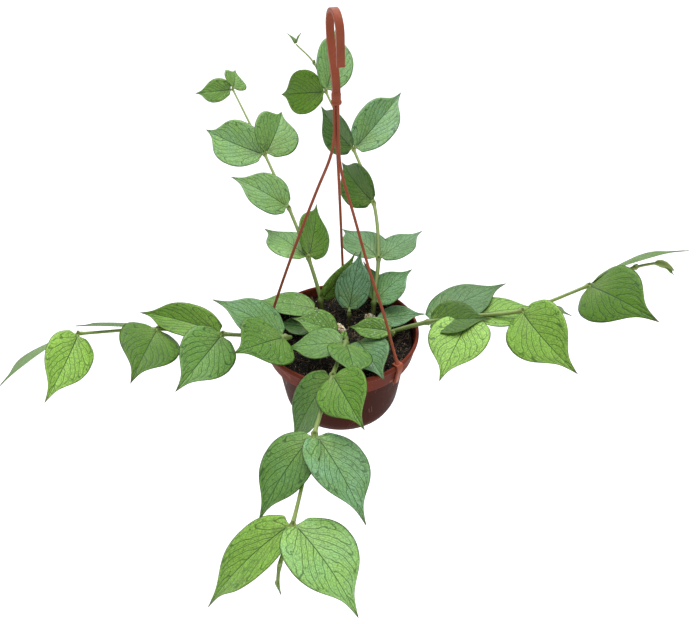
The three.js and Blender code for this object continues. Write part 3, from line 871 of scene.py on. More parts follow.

# Each stem: its root, its joints, the leaves at each joint and its tip, as in the model's source, then what the
# source leaves out: small buds, each a leaf from a place of its own, and the swelling of one tip. A leaf is
# (joint, heading, pitch, roll, length, width, fold, bend, sweep, tone, bloom, specks), where the last three say
# how light it is, how strong its painted bluish sheen is and how speckled, from 0 to 1. How light a leaf is stands
# partly for its age and partly for painted light and shade, set leaf by leaf.
stems = {
    "vine_front": {
        "root": (5, 0),
        "joints": [(4, -36, 14), (-7, -78, 16), (-21, -134, 8), (-36, -198, -14), (-45, -223, -28)],
        "tip": (-47, -230, -42),
        "buds": [
            ((-46.2, -226.5, -35), -88, -64, 60, 12, 7, 30, 12, 0, 1, 0.1, 0),
        ],
        "thickness": (1.9, 1.3),
        "leaves": [
            (0, 176, -2, 0, 51, 41, 4, 15, 0, 0.5, 0.3, 0.1),
            (0, -80, 15, -18, 52, 39, 2, 15, 0, 0.45, 0.2, 0.1),
            (1, -75, 17, 28, 73.5, 44, 8, 20, -0.03, 0.5, 0.1, 0.1),
            (1, -161, -48, -9, 75, 42, 11, 25, 0.06, 0.42, 0.25, 0.2),
            (2, -132, -14, 11, 74.5, 49, 8, 32, 0, 0.42, 0.35, 0),
            (2, -57, -7, -18, 77.5, 52, 8, 25, 0, 0.52, 0.9, 0),
            (3, -155, -22, 5, 89.5, 44, 11, 37, -0.04, 0.8, 0.1, 0),
            (3, -49, -5, -15, 76.5, 58, 8, 30, 0, 0.88, 0.6, 0),
        ],
    },
    "vine_left": {
        "root": (-46, 0),
        "joints": [(-47, -34, 20), (-100, -28, 20), (-157, -17, 18), (-229, -9, 8)],
        "thickness": (2, 1.3),
        "leaves": [
            (0, 172, 42, -4, 66.5, 46, 2, 25, 0, 0.46, 0.7, 0),
            (0, -117, 31, -32, 73.5, 52, 2, 12, 0, 0.45, 0.15, 0.5),
            (1, 163, 14, -25, 84, 33, 20, 35, 0, 0.62, 0.05, 0.1),
            (1, -107, 8, -35, 74.5, 47, 8, 20, 0, 0.58, 0.4, 0),
            (2, -88, 22, -29, 78.5, 51, 3, 34, 0.03, 0.3, 0, 0),
            (2, 163, -5, 43, 80, 42, 4, 8, 0, 0.35, 0.1, 0),
            (3, -90, 1, -42, 75.5, 41, 8, 25, 0, 1, 0.05, 0),
            (3, -171, -16, 36, 86, 44, 4, 30, 0, 0.34, 0.1, 0),
        ],
    },
    "vine_right": {
        "root": (25, -4),
        "joints": [(77, -7, 12), (114, -10, 20), (156, -14, 28), (213, -4, 46), (255, 8, 56)],
        "tip": (278, 16, 55),
        "swelling": [
            (274, 14.5, 55), (277, 15.5, 55), (280, 15.5, 54.4), (284, 15, 53), (288, 14, 51), (292, 13, 48.5)],
        "buds": [
            ((281, 15.4, 54.4), -24, -34, 30, 13, 7, 42, 15, 0, 1, 0.05, 0),
        ],
        "thickness": (2.1, 1.2),
        "leaves": [
            (0, -15, 20, 16, 53, 37, 12, 18, 0, 0.22, 0, 0),
            (0, 25, 20, 0, 83.5, 47, 0, 25, 0.05, 0.2, 0.4, 0),
            (1, -120, -10, 5, 69.5, 53, 8, 15, 0, 1, 0.1, 0),
            (1, 13, 4, 0, 62, 43, 0, 15, 0, 0.8, 0.1, 0),
            (2, -85, 10, 45, 85.5, 53, 8, 35, 0.05, 0.84, 0.05, 0),
            (2, 31, -14, -42, 60, 26, 8, 25, 0, 0.25, 0, 0),
            (3, -89, 30, 50, 98, 54, 0, 35, 0, 0.36, 0, 0),
            (3, 25, 25, -53.5, 91.5, 40, 3, 35, 0, 0.5, 0.2, 0),
        ],
    },
    "vine_back_left": {
        "root": (-18, 42),
        "joints": [(-18, 43, 1), (-29, 73, 28), (-48, 122, 54), (-73, 181, 82), (-112, 279, 112)],
        "thickness": (2, 0.9),
        "leaves": [
            (0, 17, 43, 100, 54, 26, 8, 25, 0, 1, 0, 0),
            (1, 133, 13, 7, 63.5, 48, 2, 20, -0.02, 0.72, 0.5, 0),
            (1, 77, 26, 55, 66.5, 43, 4, 20, -0.05, 0.42, 0.05, 0),
            (2, 175, 40, -20, 61.5, 48, 8, 25, 0, 0.7, 0.6, 0.2),
            (3, 150, 5, -45, 89.5, 49, 16, 25, -0.1, 1, 0.9, 0),
            (3, 65, 25, 40, 70.5, 51, 16, 35, 0.05, 0.66, 0.4, 0),
            (4, 165, -10, -45, 47.5, 28, 8, 15, -0.05, 0.78, 0.3, 0),
            (4, 85, 20, 45, 32.5, 30, 8, 15, 0, 0.76, 0.25, 0),
        ],
    },
    "vine_back_right": {
        "root": (31, 32),
        "joints": [(31, 33, 4), (37, 70, 28), (35, 129, 54), (17, 194, 80), (-11, 281, 107), (-24, 317, 126)],
        "tip": (-45, 351, 136),
        "buds": [
            ((-45, 350, 135), 120, 35, 30, 17, 9, 30, 20, 0, 0.55, 0.1, 0),
            ((-45, 350, 135), 60, 55, -50, 13, 7, 30, 20, 0, 0.65, 0.1, 0),
        ],
        "thickness": (2, 0.9),
        "leaves": [
            (0, 90, 24, 37, 52, 30, 18, 30, 0, 0.22, 0.4, 0),
            (0, 27, 40, -7, 45.5, 46, 3, 20, 0.02, 0.48, 0.9, 0),
            (1, 123, 14, 3, 58.5, 45, 4, 25, 0, 0.25, 0.55, 0),
            (1, 30, 20, -10, 51.5, 45, 0, 15, 0.1, 0.32, 0.6, 0),
            (2, 125, 15, -60, 72.5, 41, 16, 25, 0, 0.22, 0.05, 0),
            (3, 45, 25, 40, 97.5, 46, 24, 25, 0.05, 0.7, 0.95, 0),
            (3, 130, 20, -75, 72.5, 41, 16, 25, 0, 0.18, 0.2, 0),
            (4, 160, -10, -60, 65.5, 50, 16, 35, -0.05, 0.55, 0, 0),
            (4, 70, 40, 35, 86.5, 47, 24, 25, 0.05, 0.74, 0.7, 0),
        ],
    },
    "sprig_tall": {
        "root": (8, 19),
        "joints": [(8, 20, 4)],
        "leaves": [(0, 76, 50, -12, 56.5, 35, 2, 19, 0, 0.08, 0.8, 0.1)],
    },
    "sprig_left": {
        "root": (-21, 26),
        "joints": [(-21, 27, 2)],
        "leaves": [(0, 174, 15, 7, 58, 42, 2, 18, 0, 0.5, 0.25, 0.6)],
    },
    "sprig_middle": {
        "root": (-1, -2),
        "joints": [(-2, -4, -2)],
        "leaves": [(0, 176, 31, -14, 42, 33, 13, 25, 0, 0.56, 0.2, 0.8)],
    },
    "sprig_right": {
        "root": (36, -17),
        "joints": [(46, -20, 12.5)],
        "leaves": [(0, 158, -4, -32, 45, 21, 10, 25, 0, 0.7, 0.25, 0.9)],
    },
    "sprig_dark": {
        "root": (31, 14),
        "joints": [(31, 15, -2)],
        "leaves": [(0, -10, 20, 2, 45.5, 31, 2, 12, 0, 0.24, 0.75, 0.3)],
    },
    "sprig_front": {
        "root": (15, -10),
        "joints": [(15, -10, -5)],
        "buds": [((2, -17.4, 2), 83, -8, 0, 18, 6, 20, 15, 0, 0.62, 0.1, 0.2)],
        "leaves": [(0, -74, 18, 12, 63.5, 41, 10, 25, 0, 0.26, 0.7, 0.1)],
    },
    "sprig_low": {
        "root": (-19, 5),
        "joints": [(-23, 5, -3)],
        "leaves": [(0, 172, 10, -12, 33, 24, 8, 15, 0, 0.22, 0.4, 0.2)],
    },
}


def smoothStep(x, low, high):
    x = np.clip((x - low) / (high - low), 0, 1)
    return x * x * (3 - 2 * x)


margin = np.array(smoothOutline(bladeForm["outline"], 8))


def halfWidth(t):
    return np.clip(np.interp(t, margin[:, 0], margin[:, 1]), 0, 1)


def leafAxes(heading, pitch, roll):
    h, p, r = (math.radians(v) for v in (heading, pitch, roll))
    forward = np.array([math.cos(h) * math.cos(p), math.sin(h) * math.cos(p), math.sin(p)])
    level = np.array([-math.sin(h), math.cos(h), 0.0])
    left = level * math.cos(r) + np.cross(forward, level) * math.sin(r)
    return forward, left, np.cross(forward, left)


def bladePoints(leaf, start, t, s, rise):
    # Where the model's own leaf formula puts (t, s), with a rise out of the blade's face
    _, heading, pitch, roll, length, width, fold, bend, sweep = leaf[:9]
    forward, left, up = leafAxes(heading, pitch, roll)
    along = t - bladeForm["lobe"] * s * s * (1 - t) ** 4 * smoothStep(t, 0, 0.05)
    total, crease = math.radians(bend), math.radians(fold)
    angle = total * along
    reach = length * np.sin(angle) / total
    sink = length * (np.cos(angle) - 1) / total
    across = width / 2 * halfWidth(t) * s
    # the fold is rounded near the midrib, so the blade has no hard crease
    lift = (np.sqrt(across**2 + 1.0) - 1.0) * math.sin(crease) + rise
    return (
        start
        + (reach + lift * np.sin(angle))[..., None] * forward
        + (across * math.cos(crease) + length * sweep * along**2)[..., None] * left
        + (sink + lift * np.cos(angle))[..., None] * up
    )


def veinNumbers(t, q, shift):
    # Which side vein a place lies on, as a number that is whole on each vein. Veins leave the midrib at
    # one set of places and reach the margin further forward, so they curve towards the tip
    table = np.linspace(0, 11, 400)
    leave = (table / 8) ** 2.2
    arrive = leave + (1 - leave) * (1 - np.exp(-table / 2.9))
    numbers = np.empty_like(t)
    for j in range(t.shape[1]):
        rise = q[0, j] ** 1.1
        numbers[:, j] = np.interp(t[:, j], leave * (1 - rise) + arrive * rise, table)
    return numbers + shift


def makeBlade(leaf, joint, seed):
    # An upper and a lower face of one grid, closed at the margin, with the numbers that its veins follow
    form = bladeForm
    draw = np.random.default_rng(seed)
    rows, columns = form["rows"], form["columns"]
    if leaf[4] < 50:
        rows, columns = rows - 16, columns - 8
    length, width = leaf[4], leaf[5]
    forward = leafAxes(*leaf[1:4])[0]
    start = np.array(joint, float) + forward * form["petiole"]
    t, v = np.meshgrid(np.linspace(0, 1, rows + 1) ** 1.15, np.linspace(-1, 1, columns + 1), indexing="ij")
    s = np.sign(v) * np.abs(v) ** 1.25
    q = np.abs(s)
    middle = columns // 2
    shifts = draw.uniform(0, 1, 2) + (0, 30)
    veins = veinNumbers(t, q, shifts[0])
    veins[:, middle + 1 :] += shifts[1] - shifts[0]
    across = width / 2 * halfWidth(t) * s
    flat = np.stack([length * t, across], -1)
    # how many veins are crossed in a millimetre, so that every line keeps its own width
    k = veins - shifts[0]
    k[:, middle + 1 :] -= shifts[1] - shifts[0]
    perT = np.gradient(k, t[:, 0], axis=0)
    perQ = np.abs(np.gradient(k, s[0], axis=1))
    reach = np.maximum(width / 2 * halfWidth(t), 0.4)
    slope = np.gradient(reach, t[:, 0], axis=0)
    density = np.hypot(perQ / reach, (perT + perQ * q * slope / reach) / length)
    spacing = np.clip(1 / np.maximum(density, 1e-3), 0.4, 30)
    between = 0.5 - 0.5 * np.cos(2 * np.pi * veins)
    quilt = form["quilt"] * between * smoothStep(q, 0.05, 0.3) * (
        1 - smoothStep(q, 0.75, 0.97)) * smoothStep(t, 0.03, 0.2)
    phase = draw.uniform(0, 2 * np.pi, 2)
    wave = form["wave"] * q**3 * np.where(
        s > 0, np.sin(9 * t + phase[0]), np.sin(8 * t + phase[1])) * np.sin(np.pi * t)
    thick = form["thickness"] / 2 * np.sqrt(np.clip(1 - q**5, 0, 1)) * (1 - 0.4 * t)
    rib = np.exp(-((across / 1.1) ** 2))
    ribFade = (1 - t) ** 0.6
    upper = bladePoints(leaf, start, t, s, quilt + wave + thick - form["groove"] * rib * ribFade)
    lower = bladePoints(leaf, start, t, s, quilt + wave - thick - form["keel"] * rib * ribFade)
    rim = bladePoints(leaf, start, t, s, quilt + wave)

    inner, wide = rows - 1, columns + 1
    upperIds = np.zeros((rows + 1, wide), int)
    upperIds[1:-1] = np.arange(inner * wide).reshape(inner, wide)
    lowerIds = upperIds.copy()
    lowerIds[1:-1, 1:-1] = inner * wide + np.arange(inner * (wide - 2)).reshape(inner, wide - 2)
    baseId = inner * wide + inner * (wide - 2)
    for ids in (upperIds, lowerIds):
        ids[0], ids[-1] = baseId, baseId + 1
    upper[:, (0, -1)] = rim[:, (0, -1)]
    points = np.concatenate(
        [upper[1:-1].reshape(-1, 3), lower[1:-1, 1:-1].reshape(-1, 3), rim[0, middle][None], rim[-1, middle][None]])
    grid = np.arange((rows + 1) * wide).reshape(rows + 1, wide)
    quads = np.stack([grid[1:-2, :-1], grid[2:-1, :-1], grid[2:-1, 1:], grid[1:-2, 1:]], -1).reshape(-1, 4)
    baseEnds = np.stack([grid[0, :-1], grid[1, :-1], grid[1, 1:]], -1)
    tipEnds = np.stack([grid[-2, :-1], grid[-1, :-1], grid[-2, 1:]], -1)
    faces, corners, under = [], [], []
    for ids, turned in ((upperIds, False), (lowerIds, True)):
        for block in (quads, baseEnds, tipEnds):
            block = block[:, ::-1] if turned else block
            faces.append(ids.ravel()[block])
            corners.append(block)
            under.append(np.full(block.size, float(turned)))
    layers = {
        "blade": np.stack([s, t], -1).reshape(-1, 2), "veins": np.stack([veins, spacing], -1).reshape(-1, 2),
        "flat": flat.reshape(-1, 2)}
    # the right half's veins are numbered apart, so each half's corners take their own side's number
    return points, faces, corners, under, layers


def makeLeafMesh(name, blades, looks, material):
    # Many blades in one mesh, with their maps on the face corners and their tints on the points
    points, vertexIds, totals, under, tints = [], [], [], [], []
    maps = {"blade": [], "veins": [], "flat": []}
    offset = 0
    for (bladePointsHere, faces, corners, underHere, layers), look in zip(blades, looks):
        points.append(bladePointsHere)
        tints.append(np.tile(look, (len(bladePointsHere), 1)))
        for block, grid, side in zip(faces, corners, underHere):
            vertexIds.append(block.ravel() + offset)
            totals.append(np.full(len(block), block.shape[1]))
            under.append(side)
            for key, values in maps.items():
                values.append(layers[key][grid.ravel()])
        offset += len(bladePointsHere)
    points, vertexIds, totals = np.concatenate(points), np.concatenate(vertexIds), np.concatenate(totals)
    mesh = bpy.data.meshes.new(name)
    mesh.vertices.add(len(points))
    mesh.vertices.foreach_set("co", toScene(points).ravel())
    mesh.loops.add(len(vertexIds))
    mesh.loops.foreach_set("vertex_index", vertexIds)
    mesh.polygons.add(len(totals))
    mesh.polygons.foreach_set("loop_start", np.concatenate([[0], np.cumsum(totals)[:-1]]))
    mesh.polygons.foreach_set("loop_total", totals)
    mesh.update(calc_edges=True)
    for key, values in maps.items():
        layer = mesh.uv_layers.new(name=key)
        layer.data.foreach_set("uv", np.concatenate(values).ravel())
    tint = mesh.attributes.new("leafTint", "FLOAT_COLOR", "POINT")
    tint.data.foreach_set("color", np.concatenate(tints).ravel())
    side = mesh.attributes.new("underside", "FLOAT", "CORNER")
    side.data.foreach_set("value", np.concatenate(under))
    mesh.polygons.foreach_set("use_smooth", [True] * len(totals))
    mesh.validate()
    mesh.materials.append(material)
    return addObject(name, mesh)


veinLook = {  # widths in mm, a little wider than life so that they show
    "midrib": 0.85,
    "side": 0.38,
    "arch": 0.34,
    "thread": 0.16,
    "archFrom": 0.70,  # where the arches spring, as a share of the half width
    "archRise": 0.17,
    "net": 2.0,  # mm across a cell of the finest net
    "margin": 0.45,
}


def waxyLeaf():
    # A hoya's leathery leaf: a waxed upper face that mirrors the sky softly, with a painted bluish sheen on top of
    # that, dark veins looped near the margin, a thin red-brown margin and a duller, paler underside
    look, tints = veinLook, {key: linear(value) for key, value in leafColours.items()}
    material, tree = startMaterial("waxyHoyaLeaf")
    blade = addNode(tree, "SeparateXYZ", {"Vector": addNode(tree, "UVMap", uv_map="blade")})
    vein = addNode(tree, "SeparateXYZ", {"Vector": addNode(tree, "UVMap", uv_map="veins")})
    flatMap = addNode(tree, "UVMap", uv_map="flat")
    flat = addNode(tree, "SeparateXYZ", {"Vector": flatMap})
    tintNode = addNode(tree, "Attribute", attribute_name="leafTint")
    tint = addNode(tree, "SeparateColor", {"Color": tintNode.outputs["Color"]})
    tone, bloom, specks, seed = tint.outputs[0], tint.outputs[1], tint.outputs[2], tintNode.outputs["Alpha"]
    under = addNode(tree, "Attribute", attribute_name="underside").outputs["Fac"]
    t = blade.outputs["Y"]
    q = addNode(tree, "Math", (blade.outputs["X"],), operation="ABSOLUTE")
    offset = addNode(tree, "CombineXYZ", {"X": seed, "Y": seed, "Z": seed})
    far = addNode(tree, "VectorMath", (offset, 531.0), operation="SCALE")
    place = addNode(tree, "VectorMath", (flatMap, far), operation="ADD")

    wander = addNode(tree, "TexNoise", {"Vector": place, "Scale": 0.11, "Detail": 2.0, "Roughness": 0.6})
    kShift = addNode(tree, "MapRange", (wander, 0.3, 0.7, -0.16, 0.16))
    k = addNode(tree, "Math", (vein.outputs["X"], kShift), operation="ADD")
    ripple = addNode(tree, "TexNoise", {"Vector": place, "Scale": 0.23, "Detail": 1.0})
    qShift = addNode(tree, "MapRange", (ripple, 0.3, 0.7, -0.05, 0.05))
    qBent = addNode(tree, "Math", (q, qShift), operation="ADD")
    spacing = vein.outputs["Y"]

    def lines(copies, width, soft):
        # 1 on each line of the k family, 0 between; the width is held in millimetres
        many = addNode(tree, "Math", (k, float(copies)), operation="MULTIPLY")
        part = addNode(tree, "Math", (many,), operation="FRACT")
        away = addNode(tree, "Math", (part, 0.5), operation="SUBTRACT")
        away = addNode(tree, "Math", (away,), operation="ABSOLUTE")
        near = addNode(tree, "Math", (0.5, away), operation="SUBTRACT")
        wide = addNode(tree, "Math", (near, spacing), operation="MULTIPLY")
        wide = addNode(tree, "Math", (wide, 1.0 / copies), operation="MULTIPLY")
        line = addNode(
            tree, "MapRange", (wide, width * (1 - soft), width * (1 + soft), 1.0, 0.0),
            interpolation_type="SMOOTHSTEP")
        # where the veins crowd together at the base they thin out instead of running into a blot
        sparse = addNode(tree, "MapRange", (spacing, width * 1.5, width * 5))
        return addNode(tree, "Math", (line, sparse), operation="MULTIPLY")

    def arches(copies, start, rise, width):
        # loops that join one vein to the next near the margin
        many = addNode(tree, "Math", (k, float(copies)), operation="MULTIPLY")
        part = addNode(tree, "Math", (many,), operation="FRACT")
        g = addNode(tree, "Math", (part, 2.0, -1.0), operation="MULTIPLY_ADD")
        square = addNode(tree, "Math", (g, g), operation="MULTIPLY")
        crown = addNode(tree, "Math", (square, -rise, start + rise), operation="MULTIPLY_ADD")
        cell = addNode(tree, "Math", (many,), operation="FLOOR")
        chance = addNode(tree, "TexWhiteNoise", {"W": cell}, noise_dimensions="1D").outputs["Value"]
        slip = addNode(tree, "MapRange", (chance, 0.0, 1.0, -0.08, 0.05))
        crown = addNode(tree, "Math", (crown, slip), operation="ADD")
        away = addNode(tree, "Math", (qBent, crown), operation="SUBTRACT")
        away = addNode(tree, "Math", (away,), operation="ABSOLUTE")
        reach = addNode(tree, "Math", (flat.outputs["Y"], blade.outputs["X"]), operation="DIVIDE")
        gap = addNode(tree, "Math", (away, reach), operation="MULTIPLY")
        steep = addNode(tree, "Math", (reach, spacing), operation="DIVIDE")
        steep = addNode(tree, "Math", (steep, g), operation="MULTIPLY")
        steep = addNode(tree, "Math", (steep, 4 * rise * copies), operation="MULTIPLY")
        lean = addNode(tree, "Math", (steep, steep, 1.0), operation="MULTIPLY_ADD")
        lean = addNode(tree, "Math", (lean, 0.5), operation="POWER")
        true = addNode(tree, "Math", (gap, lean), operation="DIVIDE")
        arch = addNode(tree, "MapRange", (true, width * 0.5, width * 1.7, 1.0, 0.0), interpolation_type="SMOOTHSTEP")
        # loops fade where the veins crowd
        airy = addNode(tree, "MapRange", (spacing, 1.2, 3.0))
        return addNode(tree, "Math", (arch, airy), operation="MULTIPLY")

    side = lines(1, look["side"], 0.6)
    stop = addNode(tree, "MapRange", (qBent, look["archFrom"] - 0.01, look["archFrom"] + 0.03, 1.0, 0.0))
    side = addNode(tree, "Math", (side, stop), operation="MULTIPLY")
    loops = arches(1, look["archFrom"], look["archRise"], look["arch"])
    small = arches(2, 0.87, 0.07, look["thread"])
    thread = lines(3, look["thread"], 0.7)
    threadStop = addNode(tree, "MapRange", (qBent, 0.6, 0.8, 1.0, 0.0))
    thread = addNode(tree, "Math", (thread, threadStop), operation="MULTIPLY")
    nets = []
    for scale, low, high in ((1.0, 0.03, 0.14), (0.42, 0.015, 0.06)):
        sizes = {"Vector": place, "Scale": scale / look["net"], "Randomness": 0.9}
        cells = addNode(tree, "TexVoronoi", sizes, feature="DISTANCE_TO_EDGE")
        nets.append(addNode(tree, "MapRange", (cells, low, high, 1.0, 0.0)))

    # midrib, thick at the base and fine at the tip
    fromRib = addNode(tree, "Math", (flat.outputs["Y"],), operation="ABSOLUTE")
    ribWidth = addNode(tree, "MapRange", (t, 0.0, 1.0, look["midrib"], 0.25))
    ribShare = addNode(tree, "Math", (fromRib, ribWidth), operation="DIVIDE")
    rib = addNode(tree, "MapRange", (ribShare, 0.35, 1.0, 1.0, 0.0), interpolation_type="SMOOTHSTEP")
    # margin: how far the place is from the edge of the blade, in millimetres
    edgeReach = addNode(tree, "Math", (fromRib, q), operation="DIVIDE")
    toEdge = addNode(tree, "Math", (edgeReach, fromRib), operation="SUBTRACT")
    edge = addNode(
        tree, "MapRange", (toEdge, look["margin"] * 0.4, look["margin"] * 1.7, 1.0, 0.0),
        interpolation_type="SMOOTHSTEP")

    # greens: from dark to bright by leaf, partly the leaf's own age and partly painted light and shade; then the
    # painted bluish sheen, then clouding
    first = addNode(tree, "MapRange", (tone, 0.0, 0.5))
    second = addNode(tree, "MapRange", (tone, 0.5, 1.0))
    green = addNode(tree, "Mix", (first, tints["dark"], tints["middle"]), data_type="RGBA")
    green = addNode(tree, "Mix", (second, green, tints["bright"]), data_type="RGBA")
    cloud = addNode(tree, "TexNoise", {"Vector": place, "Scale": 0.07, "Detail": 3.0})
    # painted sheen: a mix towards a pale blue-green that stands for the sky mirrored on the upper face
    wax = addNode(tree, "MapRange", (cloud, 0.25, 0.75, 0.25, 0.65))
    wax = addNode(tree, "Math", (wax, bloom), operation="MULTIPLY")
    green = addNode(tree, "Mix", (wax, green, tints["bloom"]), data_type="RGBA")
    # pale fan at the base, between the veins
    baseward = addNode(tree, "MapRange", (t, 0.02, 0.42, 1.0, 0.0))
    inward = addNode(tree, "MapRange", (q, 0.25, 0.85, 1.0, 0.0))
    beside = lines(1, look["side"] * 3.2, 0.7)
    fan = addNode(tree, "Math", (baseward, inward), operation="MULTIPLY")
    fanLines = addNode(tree, "Math", (beside, 0.5, 0.25), operation="MULTIPLY_ADD")
    fan = addNode(tree, "Math", (fan, fanLines), operation="MULTIPLY")
    green = addNode(tree, "Mix", (fan, green, tints["fan"]), data_type="RGBA")
    patches = addNode(tree, "TexNoise", {"Vector": place, "Scale": 0.55, "Detail": 3.0, "Roughness": 0.7})
    shade = addNode(tree, "MapRange", (patches, 0.3, 0.7, 0.88, 1.1))
    green = addNode(tree, "VectorMath", (green, shade), operation="SCALE")

    # lines, faintest first
    faint = addNode(tree, "Math", (nets[0], 0.26), operation="MULTIPLY")
    for line, strength in ((nets[1], 0.3), (thread, 0.35), (small, 0.3)):
        faint = addNode(tree, "Math", (line, strength, faint), operation="MULTIPLY_ADD")
    strong = addNode(tree, "Math", (side, loops), operation="MAXIMUM")
    strong = addNode(tree, "Math", (strong, 0.72), operation="MULTIPLY")
    ribDark = addNode(tree, "Math", (rib, 0.9), operation="MULTIPLY")
    strong = addNode(tree, "Math", (strong, ribDark), operation="MAXIMUM")
    drawn = addNode(tree, "Math", (strong, faint), operation="MAXIMUM")
    drawnBelow = addNode(tree, "MapRange", (under, 0.0, 1.0, 1.0, 0.45))
    drawn = addNode(tree, "Math", (drawn, drawnBelow), operation="MULTIPLY")
    dull = addNode(tree, "Math", (under, 0.4), operation="MULTIPLY")
    green = addNode(tree, "Mix", (dull, green, tints["under"]), data_type="RGBA")
    colour = addNode(tree, "Mix", (drawn, green, tints["vein"]), data_type="RGBA")
    rim = addNode(tree, "Math", (edge, 0.75), operation="MULTIPLY")
    tipBrown = addNode(tree, "MapRange", (t, 0.9, 1.0, 0.0, 0.75))
    rim = addNode(tree, "Math", (rim, tipBrown), operation="MAXIMUM")
    colour = addNode(tree, "Mix", (rim, colour, tints["margin"]), data_type="RGBA")
    # dust and hard-water specks
    dots = addNode(tree, "TexVoronoi", {"Vector": place, "Scale": 0.55, "Randomness": 1.0})
    spot = addNode(tree, "MapRange", (dots, 0.12, 0.26, 1.0, 0.0))
    sown = addNode(tree, "TexNoise", {"Vector": place, "Scale": 0.3, "Detail": 2.0})
    chosen = addNode(tree, "MapRange", (sown, 0.48, 0.6))
    spot = addNode(tree, "Math", (spot, chosen), operation="MULTIPLY")
    spot = addNode(tree, "Math", (spot, specks), operation="MULTIPLY")
    colour = addNode(tree, "Mix", (spot, colour, tints["speck"]), data_type="RGBA")

    relief = addNode(tree, "Math", (patches, 0.4), operation="MULTIPLY")
    relief = addNode(tree, "Math", (relief, drawn), operation="SUBTRACT")
    bump = addNode(tree, "Bump", {"Height": relief, "Strength": 0.5, "Distance": 0.00025})
    rough = addNode(tree, "MapRange", (patches, 0.3, 0.7, 0.34, 0.46))
    rough = addNode(tree, "Math", (under, 0.22, rough), operation="MULTIPLY_ADD")
    surface = addNode(
        tree, "BsdfPrincipled",
        {"Base Color": colour, "Roughness": rough, "IOR": 1.45, "Specular IOR Level": 0.26, "Normal": bump})
    endMaterial(tree, surface)
    return material


stemForm = {
    "pitch": 2.2,
    "sides": 12,
    "swell": 1.1,  # how far a joint swells beyond the stem
    "flare": 0.7,  # the stem widens towards each joint
    "petioleRadii": (1.9, 1.6, 1.35, 1.2, 1.0, 0.55),
    "swellingRadii": (1.2, 2.6, 3.4, 3.2, 2.0, 0.5),
    "youngColours": ("#74853C", "#93A55A"),
    "agedColours": ("#57692F", "#788C48"),
    "peatStainAndShade": "#2A2016",
    "spotColour": "#7A6A3A",
}


def greenStem():
    # A young hoya stem: smooth and yellow-green, browner towards the soil, with a light, slightly waxy skin
    material, tree = startMaterial("greenHoyaStem")
    where = addNode(tree, "TexCoord").outputs["Object"]
    parts = addNode(tree, "SeparateXYZ", {"Vector": where})
    flat = addNode(tree, "VectorMath", (where, (1.0, 1.0, 0.0)), operation="MULTIPLY")
    outward = addNode(tree, "VectorMath", (flat,), operation="LENGTH").outputs["Value"]
    old = addNode(tree, "MapRange", (outward, 0.03, 0.16, 1.0, 0.0))
    streak = addNode(tree, "TexNoise", {"Vector": where, "Scale": 120.0, "Detail": 4.0, "Roughness": 0.65})
    young, aged = (
        addNode(tree, "Mix", (streak, *map(linear, stemForm[key])), data_type="RGBA")
        for key in ("youngColours", "agedColours")
    )
    colour = addNode(tree, "Mix", (old, young, aged), data_type="RGBA")
    # the short cuttings near the middle are darkened near the soil: painted shade where they stand under the leaves,
    # and a stain from the peat
    heart = addNode(tree, "MapRange", (outward, 0.024, 0.028, 0.85, 0.0))
    low = addNode(tree, "MapRange", (parts.outputs["Z"], (3 - rimDrop) * metre, (-2 - rimDrop) * metre))
    stainedAndShaded = addNode(tree, "Math", (heart, low), operation="MULTIPLY")
    colour = addNode(tree, "Mix", (stainedAndShaded, colour, linear(stemForm["peatStainAndShade"])), data_type="RGBA")
    spots = addNode(tree, "TexNoise", {"Vector": where, "Scale": 420.0, "Detail": 2.0})
    brown = addNode(tree, "MapRange", (spots, 0.6, 0.75, 0.0, 0.5))
    colour = addNode(tree, "Mix", (brown, colour, linear(stemForm["spotColour"])), data_type="RGBA")
    bump = addNode(tree, "Bump", {"Height": spots, "Strength": 0.3, "Distance": 0.0002})
    surface = addNode(tree, "BsdfPrincipled", {"Base Color": colour, "Roughness": 0.45, "IOR": 1.42, "Normal": bump})
    endMaterial(tree, surface)
    return material


leafMaterial = waxyLeaf()
stemMaterial = greenStem()


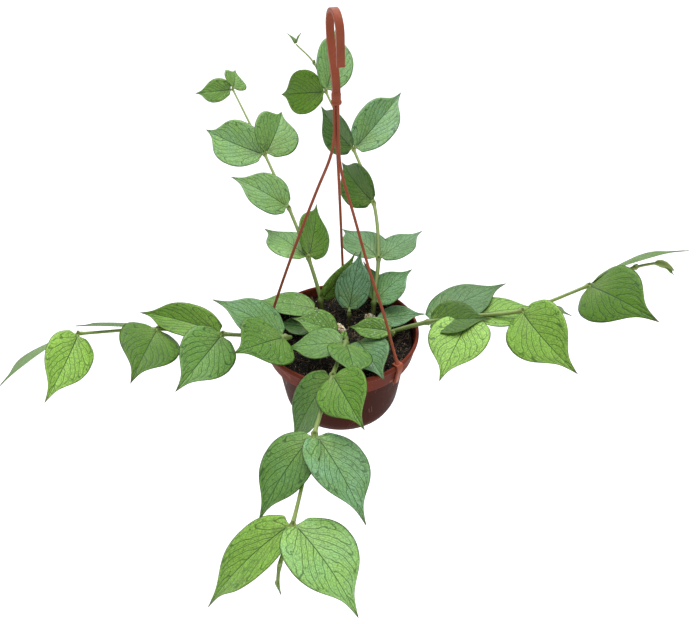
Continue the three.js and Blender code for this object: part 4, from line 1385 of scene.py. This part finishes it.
def stemPath(stem):
    # The path and thickness of a stem, from its root in the soil to its tip
    x, y = stem["root"]
    root = np.array([(x, y, z) for z in np.linspace(-23, -9, 6)])
    route = [(x, y, -8), *stem["joints"]]
    if "tip" in stem:
        route.append(stem["tip"])
    body = throughPoints(route, stemForm["pitch"])
    path = np.concatenate([root, body])
    steps = np.linalg.norm(np.diff(path, axis=0), axis=1)
    along = np.concatenate([[0], np.cumsum(steps)])
    share = along / along[-1]
    thick, thin = stem.get("thickness", (1.7, 1.5))
    radii = thick + (thin - thick) * share
    for joint in stem["joints"]:
        at = along[np.argmin(np.linalg.norm(path - np.array(joint, float), axis=1))]
        radii = radii + stemForm["swell"] * (thin / 1.5) * np.exp(-(((along - at) / 1.9) ** 2))
        before = np.clip((at - along) / 9, 0, 4)
        radii = radii + np.where(along <= at, stemForm["flare"] * (thin / 1.5) * np.exp(-before * 2), 0)
    radii = np.where(path[:, 2] < -9, np.minimum(radii, 1.8), radii)
    radii[0] *= 0.3
    radii[-1] *= 0.45
    return path, radii


def makeStem(node, stem, number):
    paths = [stemPath(stem)]
    blades, looks = [], []
    for order, leaf in enumerate(stem["leaves"]):
        joint = np.array(stem["joints"][leaf[0]], float)
        forward, _, up = leafAxes(*leaf[1:4])
        size = min(1.0, leaf[4] / 60)
        start = joint + forward * bladeForm["petiole"]
        inBlade = bladePoints(leaf, start, np.array([0.03, 0.08]), np.zeros(2), np.array([-0.75, -0.7]))
        stalk = np.array(
            [joint, joint + forward * 1.6, start - forward * 0.8, start + forward * 0.6 - up * 0.3, *inBlade])
        paths.append((stalk, np.array(stemForm["petioleRadii"]) * size))
        seed = 100 * number + order
        blades.append(makeBlade(leaf, joint, seed))
        looks.append((*leaf[9:12], (seed * 0.6180339) % 1))
    for order, (place, *bud) in enumerate(stem.get("buds", [])):
        blades.append(makeBlade((0, *bud), place, 50 + order))
        looks.append((*bud[8:11], 0.1 * order))
    if "swelling" in stem:
        paths.append((np.array(stem["swelling"]), stemForm["swellingRadii"]))
    for joint in stem["joints"][1:]:
        # a resting bud in the leaf axil
        joint = np.array(joint, float)
        paths.append((joint + np.array([(0, 0, 0.5), (0.2, -0.6, 2.6), (0.4, -1.0, 4.2)]), (1.3, 1.4, 0.4)))
    words = node.split("_")
    name = words[0] + "".join(word.capitalize() for word in words[1:])
    stalks = makeRods(name + "Stem", paths, stemForm["sides"], stemMaterial)
    finishPiece(stalks, "leaf", node)
    foliage = makeLeafMesh(name + "Leaves", blades, looks, leafMaterial)
    finishPiece(foliage, "leaf", node)


for stemNumber, (stemNode, stemData) in enumerate(stems.items()):
    makeStem(stemNode, stemData, stemNumber)
print("stems and leaves done")
